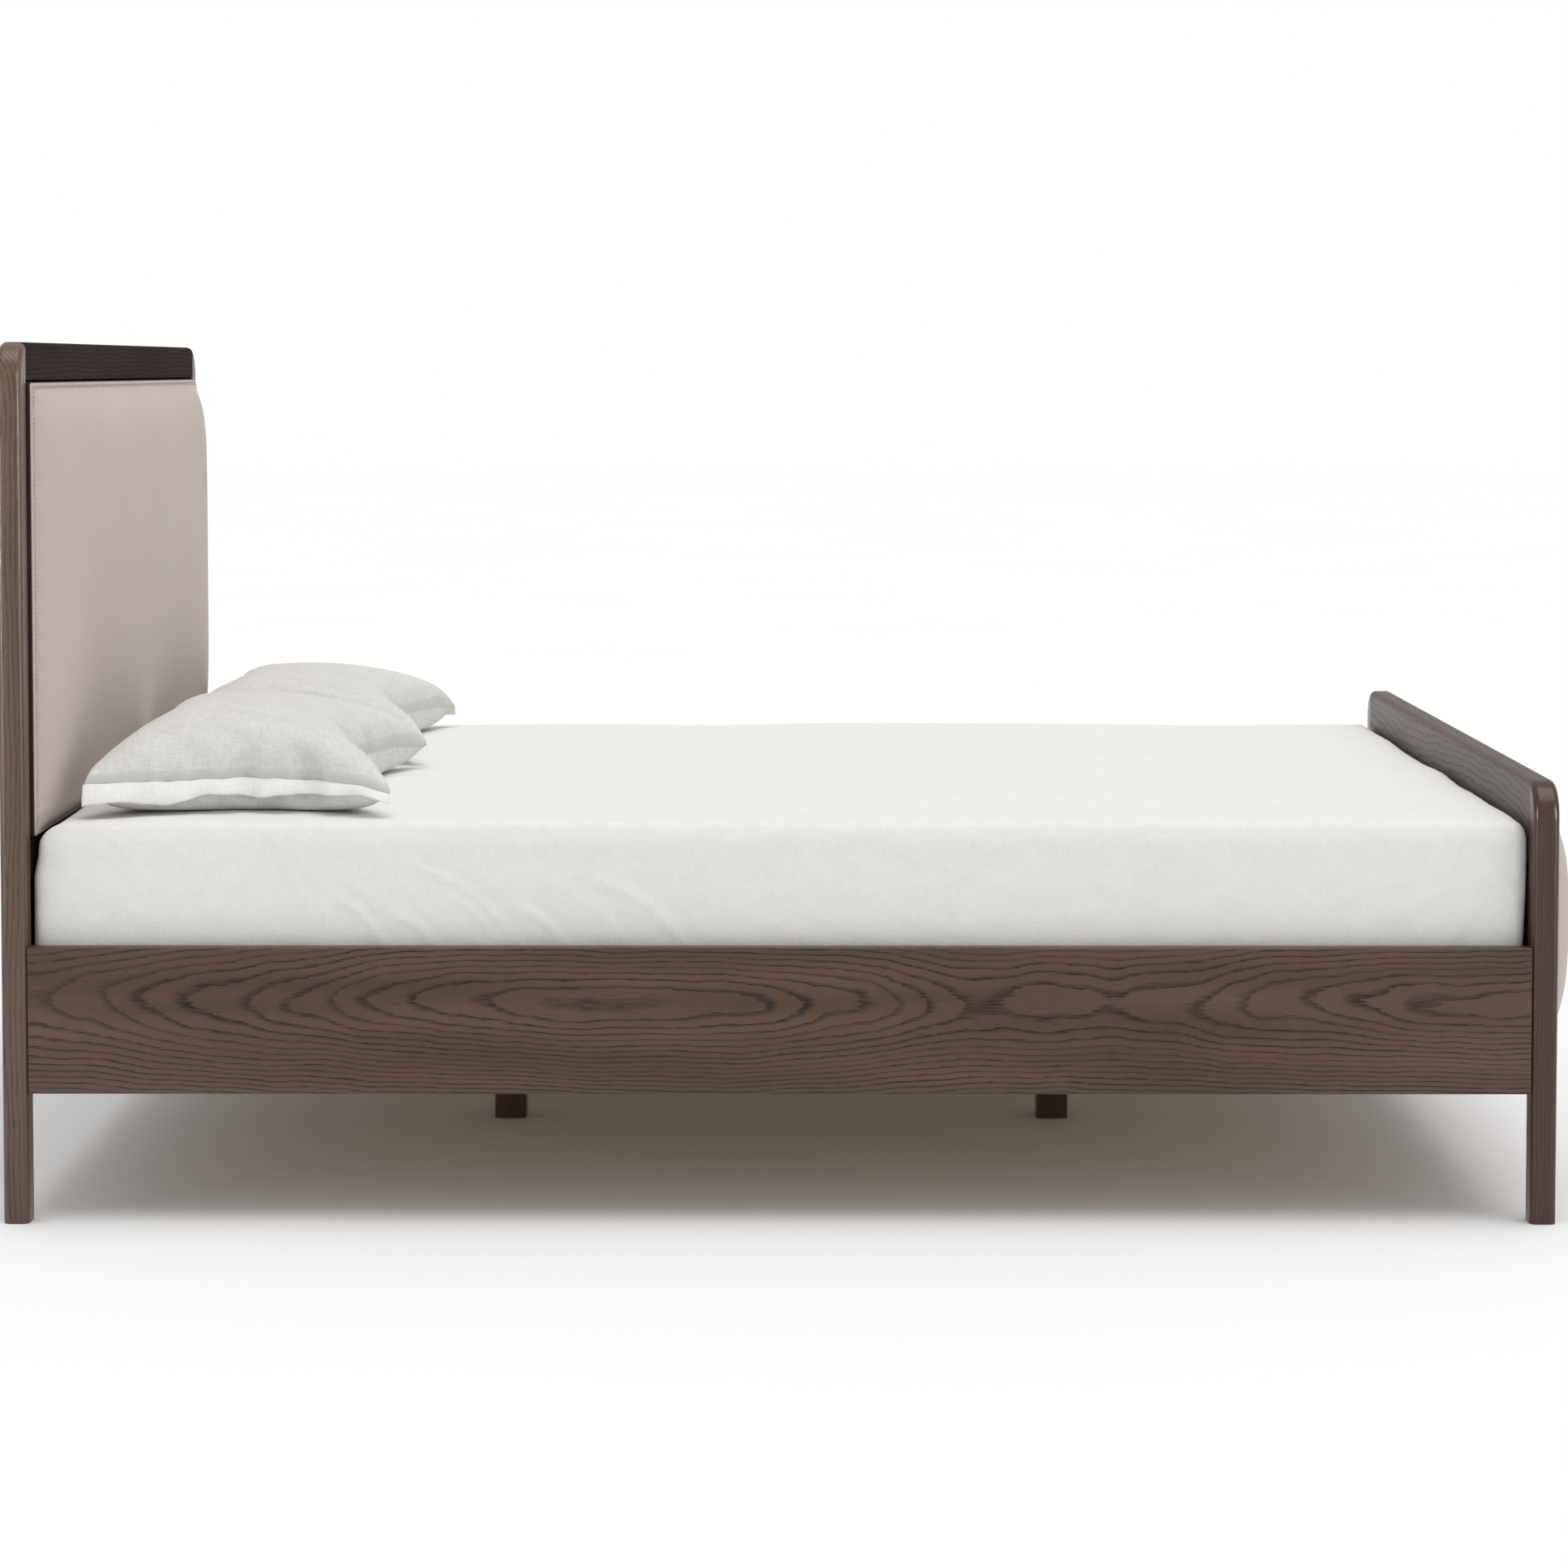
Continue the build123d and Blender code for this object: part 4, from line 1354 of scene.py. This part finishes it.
    def sheet(self) -> bpy.types.Object:
        """Make the fitted sheet: the block's top and sides and a gathered band underneath.

        Returns:
            The sheet.
        """
        skin = self.block(0.0, self.sheet_step)
        low, high = self.limits()
        under = (skin.origin[:, 2] <= low[2] + 1e-6) & (self.from_edge(skin) > self.hem)
        skin.keep(~under[skin.quads].any(axis=1))
        net = np.zeros((len(skin.points), 2))
        net[skin.quads.ravel()] = skin.net.reshape(-1, 2)
        lift = sum(crease.lift(net) for crease in self.creases())
        lift += self.sway * waves(net, (0.5, 0.35), self.seed)
        lift += self.ruffle * waves(net, (0.06, 0.05), self.seed + 1, 20)
        x, y, z = skin.origin.T
        below = z <= low[2] + 1e-6
        around = np.where(np.abs(y) > np.abs(x) * 0.75, x, y)
        gather = waves(around[:, None], (0.03,), self.seed + 2) * self.gather
        gather *= self.from_edge(skin) / self.hem
        lift = np.where(below, -np.abs(gather) - 0.0002, lift)
        end_ward = np.abs(skin.normals()[:, 0]) > 0.6
        lift = np.where(end_ward, np.minimum(lift, 0.0) * 0.6, lift)
        skin.push(lift)
        area = skin.area()
        sheet = skin.build("fitted_sheet", self.palette.take(SHEET_LINEN))
        thick = sheet.modifiers.new("thickness", "SOLIDIFY")
        thick.thickness = 0.0008
        thick.offset = -1.0
        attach(sheet, "mattress")
        return sheet


# How the pillow case's cloth behaves while it is filled
CASE_CLOTH = {
    "quality": 6,
    "mass": 0.25,
    "tension_stiffness": 25,
    "compression_stiffness": 12,
    "shear_stiffness": 8,
    "bending_stiffness": 1.2,
    "tension_damping": 12,
    "compression_damping": 12,
    "air_damping": 3,
    "use_pressure": True,
}


@dataclass
class Pillow:
    """A soft pillow in its case, inflated as cloth.

    Args:
        palette: The finishes.
        side: "left" or "right".
        seed: Of its unevenness.
        flat: Length along X and width along Y of the case laid flat.
        pressure: Of the filling.
        frames: How long the cloth settles.
        rest: Height of the rim above the mattress.
        spacing: Of the cloth's threads in the simulation.
        fullness: Power that fills the sides out, 1 for none.
        pad_margin: Room left between it and the headboard's pad.
        droop: How far the corners hang.
        turn: How much its foot edge leans towards the head, per metre across.
        slump: How far its middle leans towards the head.
        sag: How far its crest lies below the CAD pillow's.
        ironing: How many times its middle is smoothed.
        iron_weight: How far each smoothing moves a point of the middle.
        iron_edge: Share of the half width over which the smoothing fades towards the rim.
        rim, lens: Half thickness of the unfilled case at its rim, and what its middle adds.
        dome: Height that the formula's filling gives the middle. Not used.
        head_corner: How far the far head corner stays from the edge of its space.
    """

    palette: Palette
    side: str
    seed: int
    flat: tuple[float, float] = (0.520, 0.775)
    pressure: float = 7.0
    frames: int = 26
    rest: float = 0.044
    spacing: float = 0.0095
    fullness: float = 0.60
    pad_margin: float = 0.0005
    droop: float = 0.012
    turn: float = 0.022
    slump: float = 0.050
    sag: float = 0.0
    ironing: int = 14
    iron_weight: float = 0.7
    iron_edge: float = 0.25
    rim: float = 0.0015
    lens: float = 0.012
    dome: float = 0.085
    head_corner: float = 0.004

    def panels(self) -> Skin:
        """Both panels of the case, joined round the rim and barely apart.

        The two halves are one block with a lens for a section: the height at each place is the
        lens's, the product of one less the fourth power of both shares, kept off zero by the rim.

        Returns:
            The skin, centred on the origin.
        """
        lines = (
            np.linspace(-self.flat[0] / 2, self.flat[0] / 2, round(self.flat[0] / self.spacing)),
            np.linspace(-self.flat[1] / 2, self.flat[1] / 2, round(self.flat[1] / self.spacing)),
            np.array([-0.5, 0.5]),
        )
        skin = rounded_block(lines, (1e-6, 1e-6, 1e-6), front=2)
        u = 2 * skin.origin[:, 0] / self.flat[0]
        v = 2 * skin.origin[:, 1] / self.flat[1]
        full = (1 - np.abs(u) ** 4) * (1 - np.abs(v) ** 4)
        skin.points[:, 2] = np.sign(skin.origin[:, 2]) * (self.rim + self.lens * full)
        rough = 0.0012 * waves(skin.origin[:, :2], (0.08, 0.06), self.seed)
        skin.points[:, 2] += rough * full
        return skin

    def inflate(self, skin: Skin) -> None:
        """Plump the panels as cloth under pressure, without weight, and keep the result.

        Args:
            skin: The panels, whose points are moved.
        """
        scene = bpy.context.scene
        obj = skin.build("case_being_filled", self.palette.take(PILLOW_LINEN))
        cloth = obj.modifiers.new("filling", "CLOTH")
        settings = cloth.settings
        for name, value in CASE_CLOTH.items():
            setattr(settings, name, value)
        settings.uniform_pressure_force = self.pressure
        settings.effector_weights.gravity = 0.0
        cloth.collision_settings.use_collision = False
        cloth.point_cache.frame_start = 1
        cloth.point_cache.frame_end = self.frames
        for number in range(1, self.frames + 1):
            scene.frame_set(number)
        shape = obj.evaluated_get(bpy.context.evaluated_depsgraph_get()).data
        moved = np.empty(len(shape.vertices) * 3)
        shape.vertices.foreach_get("co", moved)
        skin.points = moved.reshape(-1, 3)
        bpy.data.objects.remove(obj)
        scene.frame_set(1)

    def iron(self, skin: Skin) -> None:
        """Smooth the case away from its rim: each pass moves points towards their neighbours' mean.

        Args:
            skin: The case, whose points are moved.
        """
        u = np.abs(2 * skin.origin[:, 0] / self.flat[0])
        v = np.abs(2 * skin.origin[:, 1] / self.flat[1])
        weight = np.clip((1 - np.maximum(u, v)) / self.iron_edge, 0, 1)[:, None] * self.iron_weight
        ends = np.concatenate([skin.quads[:, [k, (k + 1) % 4]] for k in range(4)])
        count = np.zeros((len(skin.points), 1))
        np.add.at(count, ends[:, 0], 1.0)
        for _ in range(self.ironing):
            total = np.zeros_like(skin.points)
            np.add.at(total, ends[:, 0], skin.points[ends[:, 1]])
            skin.points += weight * (total / count - skin.points)

    def square_up(self, skin: Skin, low: Array, high: Array) -> None:
        """Bring the case's four corners to their places.

        Each point moves by its share of the corners' moves, the product of its straight shares
        along and across the flat case.

        Args:
            skin: The case, whose points are moved.
            low, high: The corners of the space it lies in.
        """
        u = (skin.origin[:, 0] / self.flat[0] + 0.5)[:, None]
        v = (skin.origin[:, 1] / self.flat[1] + 0.5)[:, None]
        lean = (high[1] - low[1]) * self.turn
        step = 0.0 if self.side == "right" else -lean
        places = {
            (0, 0): (low[0], low[1]),
            (1, 0): (high[0] + step, low[1]),
            (0, 1): (low[0] + self.head_corner, high[1]),
            (1, 1): (high[0] + step - lean, high[1]),
        }
        for (i, j), place in places.items():
            weight = (u if i else 1 - u) * (v if j else 1 - v)
            tip = int(np.argmax(weight[:, 0]))
            move = np.array(place) - skin.points[tip, :2]
            skin.points[:, :2] += weight * move / weight[tip]

    def settle(self, skin: Skin, low: Array, high: Array) -> None:
        """Shape the plumped case for its place and flatten it where it lies on the mattress.

        Above the rim the height is raised to a power below one, which fills the sides out. Below
        it the depth is squashed towards the rest height by a falling exponential. The corners
        then droop by a share of that height.

        Args:
            skin: The case, whose points are moved.
            low, high: The corners of the space it lies in.
        """
        self.iron(skin)
        self.square_up(skin, low, high)
        z = skin.points[:, 2]
        share = np.maximum(z, 0) / z.max()
        depth = np.maximum(-z, 0) * 1.5
        flattened = -self.rest * (1 - np.exp(-depth / self.rest))
        flattened *= self.rest / max(-flattened.min(), 1e-6)
        crest = high[2] - low[2] - self.rest - self.sag
        height = np.where(z > 0, crest * share**self.fullness, flattened)
        skin.points[:, 0] -= self.slump * share**1.5
        u = np.abs(2 * skin.origin[:, 0] / self.flat[0])
        v = np.abs(2 * skin.origin[:, 1] / self.flat[1])
        foot_side = np.clip(skin.origin[:, 0] / self.flat[0] + 0.5, 0, 1)
        height -= self.droop * foot_side * (u * v) ** 5
        skin.points[:, 2] = np.maximum(height, -self.rest) + low[2] + self.rest

    def lean_on_pad(self, skin: Skin) -> None:
        """Press in what would enter the headboard's pad when the mattress is tilted all the way.

        Args:
            skin: The case, whose points are moved.
        """
        hinge_x, hinge_z, angle = tilt()
        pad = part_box("head_pad_cushion")[1].x + self.pad_margin
        across = (pad - hinge_x) + (skin.points[:, 2] - hinge_z) * math.sin(angle)
        wall = hinge_x + across / math.cos(angle)
        skin.points[:, 0] = np.maximum(skin.points[:, 0], wall)

    def build(self) -> bpy.types.Object:
        """Make the pillow in the CAD pillow's place.

        Returns:
            The pillow.
        """
        node = f"pillow_{self.side}"
        low, high = (np.array(corner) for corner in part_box(node))
        skin = self.panels()
        self.inflate(skin)
        self.settle(skin, low, high)
        self.lean_on_pad(skin)
        pillow = skin.build(f"{node}_case", self.palette.take(PILLOW_LINEN))
        smooth = pillow.modifiers.new("smooth", "SUBSURF")
        smooth.levels = 1
        smooth.render_levels = 1
        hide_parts(node)
        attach(pillow, node)
        PillowHem(self.palette, self.side, self.seed).build(skin, self.flat)
        log.info("%s: %d points", pillow.name, len(skin.points))
        return pillow


@dataclass
class PillowHem:
    """The open hem of a pillow's case, hanging from the rim at the bed's side.

    Args:
        palette: The finishes.
        side: "left" or "right".
        drop: How far it hangs at the head end and at the foot end.
        reach: How far it stands out.
    """

    palette: Palette
    side: str
    seed: int
    drop: tuple[float, float] = (0.029, 0.012)
    reach: float = 0.010
    strands: int = 150
    rows: int = 9

    def build(self, skin: Skin, flat: tuple[float, float]) -> bpy.types.Object:
        """Hang the hem along the pillow's outer rim.

        The band starts on the rim, a smoothed line through the case's outer edge. It goes out by a
        quarter sine and down by a straight share of a drop that falls from head to foot, and its
        lower edge waves in and out.

        Args:
            skin: The pillow's skin, in place.
            flat: The case's flat length and width.

        Returns:
            The hem.
        """
        outward = 1 if self.side == "left" else -1
        on_rim = outward * skin.origin[:, 1] >= flat[1] / 2 - 1e-6
        rim, order = skin.points[on_rim], np.argsort(skin.points[on_rim, 0])
        rim = rim[order]
        along = np.linspace(rim[0, 0], rim[-1, 0], self.strands)
        kernel = np.hanning(15) / np.hanning(15).sum()
        line = [along]
        for axis in (1, 2):
            row = np.interp(along, rim[:, 0], rim[:, axis])
            padding = np.pad(row, 7, mode="edge")
            line.append(np.convolve(padding, kernel, mode="valid"))
        s = np.linspace(0, 1, self.strands)[:, None]
        t = np.linspace(0, 1, self.rows)[None, :]
        ripple = waves(s, (0.33,), self.seed, 8)[:, None] * 0.0028 * t
        sway = waves(s, (0.22,), self.seed + 5, 8)[:, None] * 0.0035 * t
        drop = self.drop[0] + (self.drop[1] - self.drop[0]) * s**1.6
        x = line[0][:, None] + 0 * t
        y = line[1][:, None] + outward * (0.001 + self.reach * np.sin(t * math.pi / 2) + sway)
        z = line[2][:, None] + 0.001 - drop * t + ripple
        points = np.stack([x, y, z], axis=-1).reshape(-1, 3)
        number = np.arange(len(points)).reshape(self.strands, self.rows)
        quads = np.stack([number[:-1, :-1], number[1:, :-1], number[1:, 1:], number[:-1, 1:]], axis=-1)
        quads = quads.reshape(-1, 4)
        if outward < 0:
            quads = quads[:, ::-1]
        net = np.stack([x, t * self.drop[0] + 0 * s], axis=-1).reshape(-1, 2)[quads.ravel()]
        band = Skin(points, quads, net, points)
        hem = band.build(f"pillow_{self.side}_hem", self.palette.take(HEM_LINEN))
        thick = hem.modifiers.new("thickness", "SOLIDIFY")
        thick.thickness = 0.0012
        thick.offset = 0.0
        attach(hem, f"pillow_{self.side}")
        return hem


@dataclass
class Studio:
    """Pale floor, even white light and the camera.

    Args:
        place: The camera's place.
        pitch, yaw: Its turn down and to the left, in degrees.
        lens: Focal length in millimetres.
        shift: How far the view is shifted up, as a share of its width.
        floor_half: Half the floor's width.
        floor_tones: The two greys that the floor drifts between.
        sky: Strength of the white all round as it lights the bed.
        sun_power, sun_angle, sun_lean: Strength, width and turn of the overhead light, in degrees.
        strip_power, strip_size: Strength, width and height of the strips beside the bed.
        strip_place: How far along, in front and up each of them stands.
    """

    place: tuple[float, float, float] = (-0.0004, -6.2262, 1.1636)
    pitch: float = 3.242
    yaw: float = 0.141
    lens: float = 92.576
    shift: float = -0.12
    floor_half: float = 40.0
    floor_tones: tuple[float, float] = (0.965, 0.955)
    sky: float = 0.64
    sun_power: float = 1.36
    sun_angle: float = 50.0
    sun_lean: tuple[float, float] = (9.0, 8.0)
    strip_power: float = 170.0
    strip_size: tuple[float, float] = (0.9, 2.4)
    strip_place: tuple[float, float, float] = (4.2, -3.6, 1.6)

    def build(self) -> None:
        """Make the floor, the lights and the camera."""
        scene = bpy.context.scene
        scene.view_settings.view_transform = "Standard"
        self.floor()
        world = bpy.data.worlds.new("studio")
        world.use_nodes = True
        sky = world.node_tree.nodes["Background"]
        graph = Graph(world.node_tree)
        seen = graph.add("LightPath").outputs["Is Camera Ray"]
        graph.feed(sky.inputs["Color"], (1.0, 1.0, 1.0))
        graph.feed(sky.inputs["Strength"], graph.spread(seen, (0.0, 1.0), (self.sky, 1.0)))
        scene.world = world
        self.sun()
        along, front, up = self.strip_place
        self.strip("strip_foot", (along, front, up))
        self.strip("strip_head", (-along, front, up))
        data = bpy.data.cameras.new("camera")
        data.lens = self.lens
        data.sensor_width = 36.0
        data.shift_y = self.shift
        data.clip_end = 100.0
        camera = bpy.data.objects.new("camera", data)
        camera.location = self.place
        camera.rotation_euler = (math.radians(90 - self.pitch), 0.0, math.radians(self.yaw))
        scene.collection.objects.link(camera)
        scene.camera = camera

    def floor(self) -> None:
        """Lay the floor."""
        half = self.floor_half
        mesh = bpy.data.meshes.new("floor")
        corners = [(-half, -half, 0), (half, -half, 0), (half, half, 0), (-half, half, 0)]
        mesh.from_pydata(corners, [], [(0, 1, 2, 3)])
        material, graph, shader = new_material("studio_floor")
        cloud = Effect.MOTTLE.use(graph, {"Place": graph.object_place(), "Size": 1.5}).outputs[0]
        greys = [(tone, tone, tone) for tone in self.floor_tones]
        graph.feed(shader.inputs["Base Color"], graph.blend(cloud, *greys))
        shader.inputs["Roughness"].default_value = 0.9
        mesh.materials.append(material)
        floor = bpy.data.objects.new("floor", mesh)
        bpy.context.scene.collection.objects.link(floor)

    def sun(self) -> None:
        """Hang one broad soft light nearly overhead, leaning to the near side and the foot."""
        data = bpy.data.lights.new("overhead", "SUN")
        data.energy = self.sun_power
        data.angle = math.radians(self.sun_angle)
        lamp = bpy.data.objects.new("overhead", data)
        lamp.rotation_euler = (*map(math.radians, self.sun_lean), 0.0)
        bpy.context.scene.collection.objects.link(lamp)

    def strip(self, name: str, place: Sequence[float]) -> None:
        """Stand one tall narrow soft light beside the bed, facing it, for the edges' highlights."""
        data = bpy.data.lights.new(name, "AREA")
        data.shape = "RECTANGLE"
        data.size, data.size_y = self.strip_size
        data.energy = self.strip_power
        lamp = bpy.data.objects.new(name, data)
        lamp.location = place
        lamp.rotation_euler = (math.radians(90), 0.0, math.atan2(place[0], -place[1]))
        lamp.visible_diffuse = False
        bpy.context.scene.collection.objects.link(lamp)


def main() -> None:
    """Build and dress the bed, then light it."""
    palette = Palette()
    for end in ("head", "foot"):
        EndFrame(palette, end).build()
    SlatBase(palette).build()
    Hardware(palette).build()
    for number, end in enumerate(("head", "foot")):
        EndPad(palette, end, seed=3 + 10 * number).build()
    Mattress(palette).build()
    for number, side in enumerate(("left", "right")):
        Pillow(palette, side, seed=21 + number, sag=0.011 * (1 - number)).build()
    Studio().build()


if __name__ == "__main__":
    logging.basicConfig(level=logging.INFO, format="%(name)s: %(message)s")
    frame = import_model()
    main()
